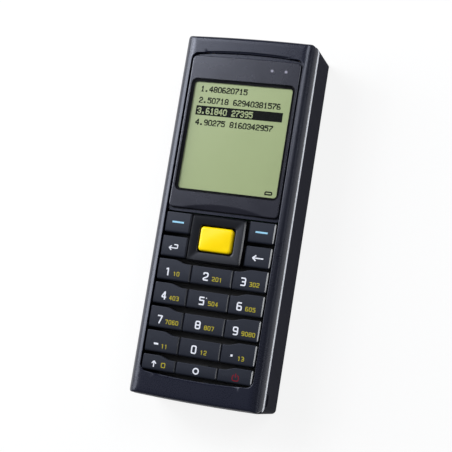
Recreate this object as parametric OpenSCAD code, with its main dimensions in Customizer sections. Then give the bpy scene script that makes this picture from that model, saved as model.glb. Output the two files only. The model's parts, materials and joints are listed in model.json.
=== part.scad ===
// Portable barcode data terminal, lying on its back.
// X runs across, Y along the case towards the scanning end, Z up through the keys.
// The origin is at the middle of the back face. All sizes are in millimetres.

/* [Case] */
// Length of the case
body_l = 142; // [136:1:150]
// Width of the case
body_w = 53.5; // [51:0.5:60]
// Thickness from the back face to the plane of the keys
body_t = 26.5; // [24:0.5:28]
// Wall thickness of both housings
wall = 1.8; // [1.5:0.1:2.2]
// Corner radius of the case in plan
corner_r = 2.6; // [2:0.2:4]
// How far each end of the case bows outwards in the middle
end_bow = 0.5; // [0.3:0.1:1.2]
// Radius along the two long edges of the back
back_r = 2.5; // [2:0.5:4]
// Radius along the short edges of the front and back
end_r = 1.4; // [0.8:0.2:2]
// Height of the front housing above the seam
bezel_h = 4.5; // [4:0.1:5]
// Radius of the rolled long edges of the front housing
bezel_r = 5.2; // [5:0.1:6]
// How far the front housing stands in from the rear housing
bezel_step = 0.3; // [0.2:0.05:0.5]
// Bevel along the top edge of the rear housing
edge_bevel = 0.5; // [0.3:0.1:0.8]
// Height of the seam between the two housings
seam = 0.3; // [0.2:0.1:0.5]

/* [Front recess] */
// Width of the frame beside the recess that holds the lens and the keys
bezel_w = 4.3; // [4:0.1:4.5]
// Distance from the top end of the case to the recess
recess_margin_top = 8; // [7:0.5:9]
// Distance from the bottom end of the case to the recess
recess_margin_bottom = 8.6; // [8:0.2:10]
// How far each end of the recess bows outwards
recess_bow = 0.9; // [0.4:0.1:1.4]
// Corner radius of the recess
recess_r = 2.8; // [2:0.2:4]
// Bevel round the mouth of the recess
recess_bevel = 0.3; // [0.2:0.1:0.5]
// Thickness of the front plate round the recess
plate_t = 2.3; // [2:0.1:2.8]
// Width of the shallow scoop at each end of the recess
scoop_w = 34; // [28:1:36]
// Length of the scoops beyond the recess
scoop_l = 1.5; // [0.8:0.1:2]
// Depth of the scoops at the edge of the recess
scoop_depth = 0.6; // [0.3:0.05:0.8]

/* [Display] */
// Gap beside the lens and the outer keys
side_gap = 0.6; // [0.5:0.1:0.9]
// Gap above the top of the lens
lens_top_gap = 0.9; // [0.6:0.1:1.4]
// Gap between the soft keys and the lens
lens_key_gap = 1.7; // [1.5:0.1:2.4]
// Thickness of the lens
lens_t = 1.1; // [0.9:0.1:1.3]
// Bevel round the top of the lens
lens_bevel = 0.35; // [0.2:0.05:0.5]
// Width of the scoop along the lower edge of the lens
lens_scoop_w = 31; // [26:1:36]
// Length of that scoop
lens_scoop_l = 2.4; // [1.6:0.1:3]
// Thickness of the printed mask that holds the lens down
mask_t = 0.2; // [0.1:0.05:0.3]
// Width of the border beside the clear window
window_side = 2.1; // [1.9:0.1:3.5]
// Length of the border above the window
window_above = 9.8; // [8.6:0.1:11]
// Length of the border below the window
window_below = 8.1; // [7.4:0.1:10]
// Corner radius of the window
window_r = 1.2; // [0.8:0.1:2]
// Width that the display panel reaches past the window
lcd_border = 1; // [0.6:0.1:1.2]
// Thickness of the display panel
lcd_t = 2.1; // [1.8:0.1:2.4]
// Depth of the display panel below the mask
lcd_drop = 0.3; // [0.2:0.1:0.6]
// Diameter of the status light pipes
pipe_d = 1.6; // [1.2:0.1:2]
// Distance from the side of the lens to the outer status light
pipe_side = 5.6; // [5:0.1:8]
// Distance between the two status lights
pipe_pitch = 5.5; // [4:0.1:6]
// Distance from the top of the lens to the status lights
pipe_margin = 3.7; // [3:0.1:4.4]

/* [Number keys] */
// Width of the keys of the middle column
mid_key_w = 16.3; // [15:0.1:17.5]
// Gap between the columns of keys
key_gap = 0.3; // [0.25:0.05:0.5]
// Distance from one row of keys to the next
row_pitch = 9.2; // [9:0.1:9.3]
// Gap between the last row and the end of the recess
last_row_gap = 1.5; // [1.2:0.1:2]
// Length of a number key
key_l = 8.1; // [7.6:0.1:8.3]
// Length of the keys of the last row
last_key_l = 5.8; // [5:0.1:6]
// How far the upper edges dip towards the middle column
wave_drop = 1.2; // [0.6:0.1:1.6]
// Distance from the centre line where the dip starts
wave_out = 15.5; // [14.5:0.1:17]
// Distance from the centre line where the dip is full
wave_in = 10.5; // [9.5:0.1:12]
// Thickness of a keycap
key_t = 2.4; // [2:0.1:2.6]
// How far the keycaps stand above the front plane
key_proud = 0.2; // [0:0.05:0.5]
// Travel of every key
key_travel = 0.8; // [0.5:0.1:0.9]
// Bevel along the two sides of a keycap
key_bevel = 0.5; // [0.3:0.05:0.7]
// Radius along the lower edge of a keycap
key_round = 1.3; // [0.8:0.1:1.6]
// Corner radius of a keycap in plan
key_corner = 0.6; // [0.3:0.1:0.9]

/* [Upper keys] */
// Gap between the escape key and the first row of number keys
upper_gap = 1; // [0.8:0.1:1.4]
// Length of the soft, escape and backspace keys
soft_key_l = 7.9; // [7.5:0.1:8.1]
// Distance between those two rows
soft_key_pitch = 9.3; // [9:0.1:9.4]
// Gap between these keys and the sides of the ring
ring_side_gap = 0.8; // [0.6:0.1:1.2]

/* [Scan key and ring] */
// Width of the scan key
scan_w = 14.2; // [13:0.1:14.8]
// Length of the scan key
scan_l = 9.7; // [9:0.1:10.2]
// How far the ring lies below the middle of the four upper keys
ring_drop = 0.3; // [0.1:0.1:0.5]
// Corner radius of the scan key
scan_r = 1.2; // [0.8:0.1:1.8]
// How far the scan key stands above the front plane
scan_proud = 1.6; // [1:0.1:2.4]
// Sag of the domed top of the scan key
scan_dome = 0.35; // [0.2:0.05:0.6]
// Width of the navigation ring
ring_w = 21.6; // [21:0.1:22]
// Length of the navigation ring
ring_l = 17.4; // [17:0.1:17.6]
// Corner radius of the navigation ring
ring_r = 2.4; // [1.8:0.1:3]
// How far the sides of the ring bow outwards
ring_bow = 0.5; // [0.2:0.1:0.8]
// How far the top of the ring stands above the front plane
ring_proud = 0.5; // [0.2:0.1:1]
// Width of the low flange round the ring
ring_flange = 1.1; // [0.8:0.1:1.4]
// Depth of the flange below the top of the ring
ring_step = 0.9; // [0.5:0.1:1.2]
// Radius of the shoulder of the ring
ring_shoulder = 1.6; // [1:0.1:2]
// Gap between the ring and the scan key
ring_gap = 0.55; // [0.5:0.05:0.8]

/* [Circuit board] */
// Depth of the top of the board below the front plane
board_depth = 5.8; // [5.6:0.1:6.2]
// Thickness of the board
board_t = 1.2; // [1:0.1:1.6]
// Gap between the board and the side walls
board_gap = 1.5; // [1.2:0.1:2]
// Thickness of the silicone sheet under the keys
mat_t = 1.2; // [1:0.1:1.3]
// Height of the collars on the silicone sheet
collar_h = 1.2; // [0.8:0.1:1.4]
// Width of the shield can
shield_w = 26; // [22:1:30]
// Height of the shield can
shield_h = 2.6; // [2.2:0.1:3]
// Side of the processor
chip_w = 12; // [9:0.5:14]
// Diameter of the buzzer
buzzer_d = 10; // [8:0.5:11]
// Diameter of the vibration motor
motor_d = 10; // [8:0.5:11]
// Diameter of the backup cell
backup_d = 9.6; // [8:0.2:10]
// Gap between these three round parts
part_gap = 5; // [3:0.5:5.5]

/* [Battery] */
// Diameter of a cell
cell_d = 10.5; // [10.2:0.1:10.8]
// Length of a cell with its button
cell_l = 44.5; // [44:0.1:45]
// Distance between the axes of the cells
cell_pitch = 11; // [10.9:0.1:11.4]
// Clearance round the cells
cell_clear = 0.4; // [0.3:0.1:0.6]
// Compressed length of a contact spring
spring_l = 4.2; // [3.8:0.1:5]
// Wire diameter of a contact spring
spring_wire = 0.6; // [0.5:0.1:0.7]
// Thickness of the contact plates
contact_t = 0.4; // [0.3:0.1:0.5]
// Thickness of the walls of the battery bay
bay_wall = 1.2; // [1:0.1:1.4]

/* [Battery door] */
// Width of the door
door_w = 32; // [30:1:34]
// Distance from the bottom end of the case to the door
door_margin = 6.5; // [6:0.1:8]
// Thickness of the door
door_t = 1.6; // [1.4:0.1:1.7]
// Gap round the door
door_gap = 0.3; // [0.25:0.05:0.4]
// Diameter of the hinge pins
pin_d = 1.6; // [1.4:0.1:1.8]
// Radial clearance of the hinge pins
pin_clear = 0.06; // [0.04:0.01:0.08]
// Travel of the door latch
latch_travel = 2; // [1.5:0.1:2]
// Width of the latch slider
latch_w = 9.4; // [8:0.2:11]

/* [Scanner] */
// Width of the scan window
scan_window_w = 28; // [24:1:30]
// Height of the scan window
scan_window_h = 9; // [8:0.5:10]
// Height of the middle of the scan window above the back
scan_window_z = 10.4; // [9:0.1:11]
// Width of the scan engine
engine_w = 21; // [19:0.5:23]
// Length of the scan engine
engine_l = 14; // [12:0.5:15]
// Height of the scan engine
engine_h = 9.6; // [9:0.2:10]

/* [Fasteners and strap] */
// Distance of the case screws from the ends of the case
boss_margin = 4.5; // [4.4:0.1:4.6]
// Diameter of the screw bosses
boss_d = 4.4; // [4:0.1:4.6]
// Diameter of the screw heads
screw_head_d = 3.4; // [3:0.1:3.6]
// Length of the case screws
screw_l = 12; // [11:0.5:13]
// Thread diameter of the screws
screw_d = 2; // [1.8:0.1:2.2]
// Length of the strap slot along the case
strap_slot_l = 4.2; // [3.6:0.2:4.6]
// Height of the strap slot
strap_slot_h = 1.9; // [1.6:0.1:2]
// Distance from the bottom end of the case to the strap slot
strap_margin = 3.6; // [3.2:0.1:4.2]

/* [Hidden] */

$fn = 48;

// Plan of the case
half_w = body_w / 2;
half_l = body_l / 2;
corner_l = half_l - end_bow;
cut = 1;                    // how far a cutter reaches past the face that it opens
fuse = 0.1;                 // how far a boss or stem reaches into what it grows from

// Clearances
fit = 0.1;                  // parts that are pressed or dropped into a seat
part_clear = 0.3;           // parts that must not touch
sight_clear = 0.15;         // printed or sunk parts that line up with an edge

// Heights through the thickness
seam_z = body_t - bezel_h;
tongue_h = 1.4;
lip_t = 0.8;
rear_top = seam_z - seam;
plate_z = body_t - plate_t;
lens_z = body_t - lens_t;
mask_z = lens_z - mask_t;
board_top = body_t - board_depth;
board_z = board_top - board_t;
mat_top = board_top + mat_t;
lcd_top = mask_z - lcd_drop;
lcd_z = lcd_top - lcd_t;
key_top = body_t + key_proud;
key_z = key_top - key_t;
pill_z = board_top + key_travel + fit;
roll_z = seam_z - 0.5;      // centre of the rolled long edges

// Recess
recess_w = body_w - 2 * bezel_w;
recess_top_y = half_l - recess_margin_top;
recess_bottom_y = -half_l + recess_margin_bottom;
field_w = recess_w - 2 * side_gap;
field_half = field_w / 2;

// Key columns and rows, from the lower end of the recess upwards
rows = 5;
wave_steps = 8;
mid_half = mid_key_w / 2;
side_x = mid_half + key_gap;
first_row_y = recess_bottom_y + last_row_gap + last_key_l + (rows - 1) * row_pitch;
soft_key_x = ring_w / 2 + ring_side_gap;
soft_key_y = first_row_y + upper_gap + soft_key_l + soft_key_pitch;
scan_y = soft_key_y - (soft_key_pitch + soft_key_l) / 2 - ring_drop;
actuator_w = 5;
actuator_l = 3;
actuator_lift = 0.2;        // how far the posts under the keys lie above their middle
mat_clear = 0.4;
collar_t = 0.5;

// Lens and display, from the keys up to the top of the recess
lens_bottom_y = soft_key_y + lens_key_gap;
lens_top_y = recess_top_y - lens_top_gap;
lens_r = 1.6;
lens_bow = recess_bow / 2;
lens_ledge = 0.9;           // how far the front plate reaches below the lens
keypad_top_y = lens_bottom_y - lens_ledge;
window_w = field_w - 2 * window_side;
window_l = lens_top_y - lens_bottom_y - window_above - window_below;
window_y = lens_bottom_y + window_below + window_l / 2;
holder_wall = 1.1;
guide_floor = 0.8;
guide_inset = 2;
flex_w = 18;
flex_l = 4.2;
flex_t = 0.15;
socket_l = 2.4;
socket_t = 0.85;
pipe_x = field_half - pipe_side - pipe_pitch;
pipe_y = lens_top_y - pipe_margin;
pipe_foot = 0.3;
led_t = 0.8;
led_w = 1.6;
led_l = 1.2;

// Scan key and ring
ring_top = body_t + ring_proud;
ring_lift = 1.75;           // height of the ring above the silicone sheet
ring_z = mat_top + ring_lift;
ring_post_r = 0.8;
ring_post_x = ring_w / 2 - 1.4;
ring_post_y = ring_l / 2 - 0.9;
ring_post_gap = 0.65;
collar_lift = 0.55;         // height of the ring's collar above the silicone sheet
collar_plate_z = mat_top + collar_lift;
collar_plate_t = 0.5;
collar_margin = 0.5;
scan_lift = 0.95;           // height of the scan key's cap above the ring's lower face
scan_z = ring_z + scan_lift;
scan_edge_r = 0.8;
scan_stem_w = 8;
scan_stem_l = 5;
contact_r = 1.2;
contact_t_gold = 0.08;
scan_contact_r = 2;

// Battery door and bay, from the lower end of the case upwards
hinge_r = door_t;
hinge_z = door_t;
hinge_hollow_r = hinge_r + 2 * door_gap;
ear_gap = 0.3;
ear_w = 1.6;
ear_margin = 2;             // from the ears to the corners of the door
knuckle_w = door_w - 2 * (ear_w + ear_gap + ear_margin);
ear_x = knuckle_w / 2 + ear_gap;
flange_t = bay_wall;
flange_z = door_t + door_gap;
flange_edge = 1.5;
latch_l = 4.2;
latch_z = 0.15;
latch_t = 1.6;
latch_rail = 0.6;
latch_rail_t = 0.6;
latch_box_t = 1.2;
latch_box_wall = 1;
latch_end = 1.1;
latch_slack = 0.3;
tongue_w = 6;
tongue_t = 0.7;
pocket_l = latch_l + latch_travel + 2 * latch_slack;
pocket_w = latch_w + 2 * door_gap;
hinge_bay_gap = 3.6;        // from the hinge axis to the bay
bay_l = cell_l + spring_l + 2 * contact_t;
door_l = hinge_bay_gap + bay_l + bay_wall + door_gap + latch_box_wall + pocket_l + latch_end;
door_end_y = -half_l + door_margin;
hinge_y = door_end_y + door_l;
pocket_bottom_y = door_end_y + latch_end;
pocket_top_y = pocket_bottom_y + pocket_l;
latch_y = pocket_bottom_y + latch_travel + latch_slack;
bay_half_w = cell_pitch / 2 + cell_d / 2 + cell_clear;
bay_top_y = hinge_y - hinge_bay_gap;
bay_bottom_y = bay_top_y - bay_l;
cell_z = door_t + cell_clear + cell_d / 2;
bay_top_z = cell_z + cell_d / 2 + cell_clear;
button_r = 1.9;
button_l = 1;
plate_w = 9.2;
grooves = 5;
groove_w = 14;
groove_pitch = 2.2;
groove_r = 1;
groove_depth = 0.4;
groove_margin = 14;

// Fasteners and strap
insert_l = 4;
insert_d = 3.1;
boss_drop = 10;             // from the seam down to where the bosses meet
boss_split_z = seam_z - boss_drop;
screw_head_t = 1.4;
screw_sink = 0.8;
strap_reach = 2.4;          // from the inside of the wall to the far side of the passage
strap_wall = 1;
strap_x = half_w - wall - strap_reach;
strap_z = min(seam_z - tongue_h, board_top) - part_clear - strap_wall - strap_slot_h;
strap_y = -half_l + strap_margin;
boss_x = strap_x - strap_wall - part_clear - boss_d / 2;
boss_y = half_l - boss_margin;

// Circuit board and what it carries on its lower side
board_half = half_w - wall - board_gap;
board_end = boss_y - boss_d / 2 - part_clear;
board_screw_x = board_half - 2.4;
board_screw_y = pipe_y - 0.6;
board_screw_l = 5;
board_screw_head = 1.2;
post_r = 1.6;
post_x = board_half - 2.2;
post_margin = 22.4;         // from the lower end to the first posts
post_hinge_gap = 14;
post_top_margin = 30.8;
post_rows = [-half_l + post_margin, hinge_y + post_hinge_gap, half_l - post_top_margin];
round_part_y = bay_top_y + bay_wall + 4 + max(buzzer_d, motor_d) / 2;
buzzer_h = 3;
buzzer_port_r = 1;
motor_h = 3;
backup_h = 2.1;
shield_wall = 0.3;
chip_t = 1.4;
shield_y0 = round_part_y + max(buzzer_d, motor_d) / 2 + 2.4;

// Scanner
engine_gap = 4.6;           // from the engine to the end wall
engine_y = half_l - wall - engine_l - engine_gap;
engine_end = engine_y + engine_l;
engine_z = scan_window_z - engine_h / 2;
rail_w = 2;
optic_r = 2.6;
optic_wall = 0.8;
optic_l = 1.6;
optic_depth = 5;
led_r = 1;
led_pitch = 2.2;
led_bay = 1.5;
window_t = 1.2;
window_sink = 0.4;
window_lip = 0.8;
window_corner_r = 1.4;
infrared_w = 12;
infrared_h = 5;
infrared_r = 1;
infrared_t = 1.4;

// Charging contacts
contact_pads = 4;
pad_pitch = 4;
pad_w = 1.8;
pad_l = 2.4;
pad_y = -half_l + 2.9;
pad_t = 1;
pad_sink = 0.1;
shield_y1 = engine_y - 5.6;

// Points along an arc from angle a0 to angle a1
function arc(cx, cy, r, a0, a1, steps = 8) =
    [for (i = [0:steps]) let (a = a0 + (a1 - a0) * i / steps) [cx + r * cos(a), cy + r * sin(a)]];

// Height of a shallow bow over a half width
function bow_at(x, half, bow) = bow * (1 - (x / half) * (x / half));

// Outline with round corners between y0 and y1, whose ends bow outwards
function bowed(w, y0, y1, r, bow0, bow1, steps = 16) =
    let (half = w / 2, flat = half - r,
         top = y1 + bow_at(flat, half, bow1) - r,
         bottom = y0 - bow_at(flat, half, bow0) + r)
    concat(
        arc(flat, top, r, 0, 90),
        [for (i = [1:steps - 1]) let (x = flat * (1 - 2 * i / steps)) [x, y1 + bow_at(x, half, bow1)]],
        arc(-flat, top, r, 90, 180),
        arc(-flat, bottom, r, 180, 270),
        [for (i = [1:steps - 1]) let (x = -flat * (1 - 2 * i / steps)) [x, y0 - bow_at(x, half, bow0)]],
        arc(flat, bottom, r, 270, 360));

// Smooth step from 0 to 1
function smooth(t) = let (c = min(1, max(0, t))) c * c * (3 - 2 * c);

// Upper edge of a keycap at x, which dips towards the middle column
function wave_y(x, y) = y - wave_drop * smooth((wave_out - abs(x)) / (wave_out - wave_in));

// Rectangle with round corners, from its middle
module round_rect(w, l, r) {
    square([w - 2 * r, l], center = true);
    square([w, l - 2 * r], center = true);
    for (x = [-1, 1], y = [-1, 1])
        translate([x * (w / 2 - r), y * (l / 2 - r)]) circle(r);
}

// Block from z0 to z1 with round corners in plan
module slab(w, l, r, z0, z1) {
    translate([0, 0, z0]) linear_extrude(z1 - z0) round_rect(w, l, r);
}

// Plain block between two corners
module block(x0, x1, y0, y1, z0, z1) {
    translate([x0, y0, z0]) cube([x1 - x0, y1 - y0, z1 - z0]);
}

// A profile drawn in X and Z, run along Y between y0 and y1
module along_y(y0, y1) {
    translate([0, y1, 0]) rotate([90, 0, 0]) linear_extrude(y1 - y0) children();
}

// A profile drawn in Y and Z, run along X between x0 and x1
module along_x(x0, x1) {
    translate([x0, 0, 0]) rotate([90, 0, 90]) linear_extrude(x1 - x0) children();
}

// Plan of the case, drawn in from the outside by inset
module case_plan(inset) {
    polygon(bowed(body_w - 2 * inset, -corner_l + inset, corner_l - inset,
        max(0.6, corner_r - inset), end_bow, end_bow));
}

// Cross-section of the rear housing, up to height top
module rear_section(inset, top) {
    r = back_r - inset;
    w = half_w - inset;
    translate([-(w - r), inset]) square([2 * (w - r), top - inset]);
    translate([-w, inset + r]) square([2 * w, top - inset - r]);
    for (side = [-1, 1]) translate([side * (w - r), inset + r]) circle(r);
}

// Long side view of the rear housing, with round edges at its two ends
module rear_side(inset, top) {
    r = max(0.6, back_r * 0.6 - inset);
    l = half_l - inset;
    translate([-(l - r), inset]) square([2 * (l - r), top - inset]);
    translate([-l, inset + r]) square([2 * l, top - inset - r]);
    for (side = [-1, 1]) translate([side * (l - r), inset + r]) circle(r);
}

// Solid form of the rear housing, drawn in by inset
module rear_form(inset, top) {
    intersection() {
        linear_extrude(top) case_plan(inset);
        along_y(-half_l - cut, half_l + cut) rear_section(inset, top);
        along_x(-half_w - cut, half_w + cut) rear_side(inset, top);
    }
}

// Cross-section of the front housing, whose long edges roll over
module front_section(inset, top) {
    r = bezel_r - inset;
    w = half_w - bezel_step - inset;
    centre_x = half_w - bezel_step - bezel_r;
    intersection() {
        translate([-w, 0]) square([2 * w, top]);
        union() {
            translate([-centre_x, 0]) square([2 * centre_x, top]);
            for (side = [-1, 1]) translate([side * centre_x, roll_z]) circle(r);
            translate([-w, 0]) square([2 * w, roll_z]);
        }
    }
}

// Long side view of the front housing
module front_side(inset, top) {
    r = max(0.4, end_r - inset);
    l = half_l - bezel_step - inset;
    translate([-l, 0]) square([2 * l, top - r]);
    translate([-(l - r), 0]) square([2 * (l - r), top]);
    for (side = [-1, 1]) translate([side * (l - r), top - r]) circle(r);
}

// Solid form of the front housing, drawn in by inset
module front_form(inset, z0, top) {
    intersection() {
        translate([0, 0, z0]) linear_extrude(top - z0) case_plan(bezel_step + inset);
        along_y(-half_l - cut, half_l + cut) front_section(inset, top);
        along_x(-half_w - cut, half_w + cut) front_side(inset, top);
    }
}

// Outline of the recess, grown by grow
module recess_plan(grow) {
    polygon(bowed(recess_w + 2 * grow, recess_bottom_y - grow, recess_top_y + grow,
        recess_r + grow, recess_bow, recess_bow));
}

// Crescent along the line y, which bulges upwards by l over width w
module crescent(w, y, l) {
    steps = 12;
    polygon(concat([[w / 2, y - l], [-w / 2, y - l]],
        [for (i = [0:steps]) let (x = w * (i / steps - 0.5)) [x, y + bow_at(x, w / 2, l)]]));
}

// Cutter for a shallow scoop whose floor falls towards the edge at y and ends above depth
module scoop(w, y, l, depth) {
    step = depth / 4;
    intersection() {
        translate([0, 0, body_t - depth - cut]) linear_extrude(depth + 2 * cut) crescent(w, y, l);
        along_x(-w, w) polygon([[y - l, body_t - depth], [y, body_t - depth], [y + l, body_t - step],
            [y + l, body_t + cut], [y - l, body_t + cut]]);
    }
}

// Cylinder along X through a point in Y and Z
module x_rod(x0, x1, y, z, r) {
    translate([x0, y, z]) rotate([0, 90, 0]) cylinder(r = r, h = x1 - x0);
}

// Cylinder along Y through a point in X and Z
module y_rod(y0, y1, x, z, r) {
    translate([x, y1, z]) rotate([90, 0, 0]) cylinder(r = r, h = y1 - y0);
}

// Upright cylinder
module z_rod(x, y, z0, z1, r) {
    translate([x, y, z0]) cylinder(r = r, h = z1 - z0);
}

// Children at the four case screws
module at_bosses() {
    for (x = [-1, 1], y = [-1, 1]) translate([x * boss_x, y * boss_y, 0]) children();
}

// Clear window through the mask
module window_cut(grow, z0, z1) {
    translate([0, window_y, 0])
        slab(window_w + 2 * grow, window_l + 2 * grow, window_r, z0, z1);
}

// Children at the two status lights
module at_pipes() {
    for (i = [0, 1]) translate([pipe_x + i * pipe_pitch, pipe_y, 0]) children();
}

module front_housing() color([0.17, 0.18, 0.24]) {
    difference() {
        union() {
            difference() {
                front_form(0, seam_z, body_t);
                front_form(wall, seam_z - cut, plate_z);
            }
            // tongue that reaches into the rear housing
            difference() {
                translate([0, 0, seam_z - tongue_h]) linear_extrude(tongue_h) case_plan(wall + fit);
                translate([0, 0, seam_z - tongue_h - cut]) linear_extrude(tongue_h + 2 * cut)
                    case_plan(wall + fit + lip_t);
            }
            // bosses for the inserts
            at_bosses() z_rod(0, 0, boss_split_z, plate_z, boss_d / 2);
        }
        // pocket for the lens, and the opening for the keys
        intersection() {
            translate([0, 0, mask_z]) linear_extrude(plate_t) recess_plan(0);
            block(-half_w, half_w, keypad_top_y - cut, half_l, mask_z, body_t + cut);
        }
        intersection() {
            translate([0, 0, plate_z - cut]) linear_extrude(plate_t + 2 * cut) recess_plan(0);
            block(-half_w, half_w, -half_l, keypad_top_y, plate_z - cut, body_t + cut);
        }
        // bevelled mouth of the recess, with a shallow scoop at each end
        translate([0, 0, body_t - recess_bevel]) linear_extrude(recess_bevel + cut) recess_plan(recess_bevel);
        scoop(scoop_w, recess_top_y + recess_bow, scoop_l, scoop_depth);
        mirror([0, 1, 0]) scoop(scoop_w, -recess_bottom_y + recess_bow, scoop_l, scoop_depth);
        // aperture over the display panel
        window_cut(lcd_border + part_clear, plate_z - cut, mask_z + cut);
        at_pipes() z_rod(0, 0, plate_z - cut, mask_z + cut, pipe_d / 2 + fit);
        // blind holes for the inserts
        at_bosses() z_rod(0, 0, boss_split_z - cut, boss_split_z + insert_l + part_clear, insert_d / 2);
    }
}

// Frame that seats the door, with the walls of the battery bay
module bay_block() {
    block(-bay_half_w - bay_wall, bay_half_w + bay_wall,
        bay_bottom_y - bay_wall, bay_top_y + bay_wall, wall / 2, bay_top_z + bay_wall);
    block(-door_w / 2 - flange_edge, door_w / 2 + flange_edge,
        door_end_y - door_gap - flange_edge, hinge_y, wall / 2, flange_z + flange_t);
    // housing over the hinge
    block(-door_w / 2 - flange_edge, door_w / 2 + flange_edge, bay_top_y,
        hinge_y + hinge_hollow_r + bay_wall, wall / 2, hinge_z + hinge_hollow_r + bay_wall);
}

// Children at the inner face of each ear of the door hinge, which reaches towards +X from there
module at_ears() {
    for (x = [ear_x, -ear_x - ear_w]) translate([x, 0, 0]) children();
}

// Space that the closed door and its turning knuckle need
module door_space() {
    block(-door_w / 2 - door_gap, door_w / 2 + door_gap, door_end_y - door_gap,
        hinge_y - hinge_r, -cut, flange_z);
    // hollow round the knuckle, open below as far as the door swings
    block(-door_w / 2 - door_gap, door_w / 2 + door_gap, hinge_y - hinge_r - cut, hinge_y, -cut, hinge_z);
    block(-ear_x - ear_w - door_gap, ear_x + ear_w + door_gap, hinge_y - cut,
        hinge_y + hinge_r + door_gap, -cut, hinge_z);
    x_rod(-door_w / 2 - door_gap, door_w / 2 + door_gap, hinge_y, hinge_z, hinge_hollow_r);
}

// Passage for a strap round the corner column
module strap_passage() {
    block(strap_x, half_w + cut, strap_y, strap_y + strap_slot_l, strap_z, strap_z + strap_slot_h);
    block(strap_x, strap_x + strap_slot_h, -half_l - cut, strap_y + strap_slot_l,
        strap_z, strap_z + strap_slot_h);
}

module rear_housing() color([0.1, 0.1, 0.15]) {
    difference() {
        union() {
            difference() {
                rear_form(0, rear_top);
                rear_form(wall, rear_top + cut);
            }
            bay_block();
            // bosses for the case screws
            at_bosses() z_rod(0, 0, wall / 2, boss_split_z, boss_d / 2);
            // posts under the board
            for (side = [-1, 1], y = post_rows) z_rod(side * post_x, y, wall / 2, board_z, post_r);
            at_board_screws() z_rod(0, 0, wall / 2, board_z, post_r);
            // rails under the scan engine
            for (side = [-1, 1])
                block(side * engine_w / 4 - rail_w / 2, side * engine_w / 4 + rail_w / 2,
                    engine_y, engine_end, wall / 2, engine_z);
            // walls round the strap passage
            block(strap_x - strap_wall, half_w - wall / 2, -half_l + wall / 2,
                strap_y + strap_slot_l + strap_wall, strap_z - strap_wall, strap_z + strap_slot_h + strap_wall);
        }
        // bevel along the top edge, which catches the light
        for (side = [-1, 1])
            along_y(-half_l - cut, half_l + cut)
                polygon([[side * (half_w + cut), rear_top - edge_bevel - cut],
                    [side * (half_w + cut), rear_top + cut],
                    [side * (half_w - edge_bevel - cut), rear_top + cut]]);
        // battery bay and door
        block(-bay_half_w, bay_half_w, bay_bottom_y, bay_top_y, flange_z - cut, bay_top_z);
        difference() {
            door_space();
            at_ears() {
                x_rod(0, ear_w, hinge_y, hinge_z, hinge_r);
                block(0, ear_w, hinge_y - hinge_r, hinge_y + hinge_r, hinge_z, hinge_z + hinge_hollow_r);
            }
        }
        x_rod(-ear_x - ear_w - cut, ear_x + ear_w + cut, hinge_y, hinge_z, pin_d / 2 + pin_clear);
        // slot for the tongue of the latch, and room for the box of the latch
        block(-tongue_w / 2 - door_gap, tongue_w / 2 + door_gap, door_end_y - latch_travel - door_gap,
            door_end_y, latch_z + latch_t - tongue_t - door_gap, flange_z + part_clear);
        block(-pocket_w / 2 - latch_box_wall - door_gap, pocket_w / 2 + latch_box_wall + door_gap,
            door_end_y - door_gap, pocket_top_y + latch_box_wall + door_gap, door_t, flange_z + flange_t + cut);
        // screw holes with sunk heads
        at_bosses() {
            z_rod(0, 0, -cut, screw_sink + screw_head_t, screw_head_d / 2 + sight_clear);
            z_rod(0, 0, -cut, boss_split_z + cut, screw_d / 2 + sight_clear);
        }
        at_board_screws() z_rod(0, 0, board_z - board_screw_l, board_z + cut, screw_d / 2);
        // scan window, seated in the end wall
        on_end_wall(half_l - window_t - window_sink, window_t + 2 * cut)
            round_rect(scan_window_w, scan_window_h, window_corner_r);
        on_end_wall(half_l - wall - 2 * cut, wall + 2 * cut)
            round_rect(scan_window_w - 2 * window_lip, scan_window_h - 2 * window_lip, window_lip);
        // infrared window in the bottom end
        on_end_wall(-half_l - cut, wall + 3 * cut) round_rect(infrared_w, infrared_h, infrared_r);
        // pockets of the charging contacts
        at_pads() block(-pad_w / 2, pad_w / 2, -pad_l / 2, pad_l / 2, -cut, wall + cut);
        strap_passage();
    }
}

// A flat outline, stood up across the case, from y and for a depth of t
module on_end_wall(y, t) {
    translate([0, y, scan_window_z]) rotate([-90, 0, 0]) linear_extrude(t) children();
}

module housing_seal() color([0.05, 0.05, 0.06]) {
    difference() {
        translate([0, 0, rear_top]) linear_extrude(seam) case_plan(bezel_step + edge_bevel - fit);
        translate([0, 0, rear_top - cut]) linear_extrude(seam + 2 * cut) case_plan(wall + fit / 2);
    }
}

// Outline of the lens, drawn in by inset
module lens_plan(inset) {
    polygon(bowed(field_w - 2 * inset, lens_bottom_y + inset, lens_top_y - inset, lens_r, 0, lens_bow));
}

module display_lens() color([0.3, 0.29, 0.34]) {
    x = field_half;
    y = lens_top_y + lens_bow;
    b = lens_bevel;
    difference() {
        intersection() {
            translate([0, 0, lens_z]) linear_extrude(lens_t) lens_plan(0);
            along_y(lens_bottom_y - cut, y + cut)
                polygon([[-x, lens_z], [x, lens_z], [x, body_t - b], [x - b, body_t],
                    [b - x, body_t], [-x, body_t - b]]);
            along_x(-x - cut, x + cut)
                polygon([[lens_bottom_y, lens_z], [y, lens_z], [y, body_t - b], [y - b, body_t],
                    [lens_bottom_y + b, body_t], [lens_bottom_y, body_t - b]]);
        }
        scoop(lens_scoop_w, lens_bottom_y, lens_scoop_l, lens_t * 0.6);
    }
}

module lens_mask() color([0.26, 0.26, 0.3]) {
    difference() {
        translate([0, 0, mask_z]) linear_extrude(mask_t) lens_plan(sight_clear);
        window_cut(0, mask_z - cut, lens_z + cut);
        at_pipes() z_rod(0, 0, mask_z - cut, lens_z + cut, pipe_d / 2);
    }
}

module lcd_panel() color([0.62, 0.67, 0.5]) {
    window_cut(lcd_border, lcd_z, lcd_top);
}

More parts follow.
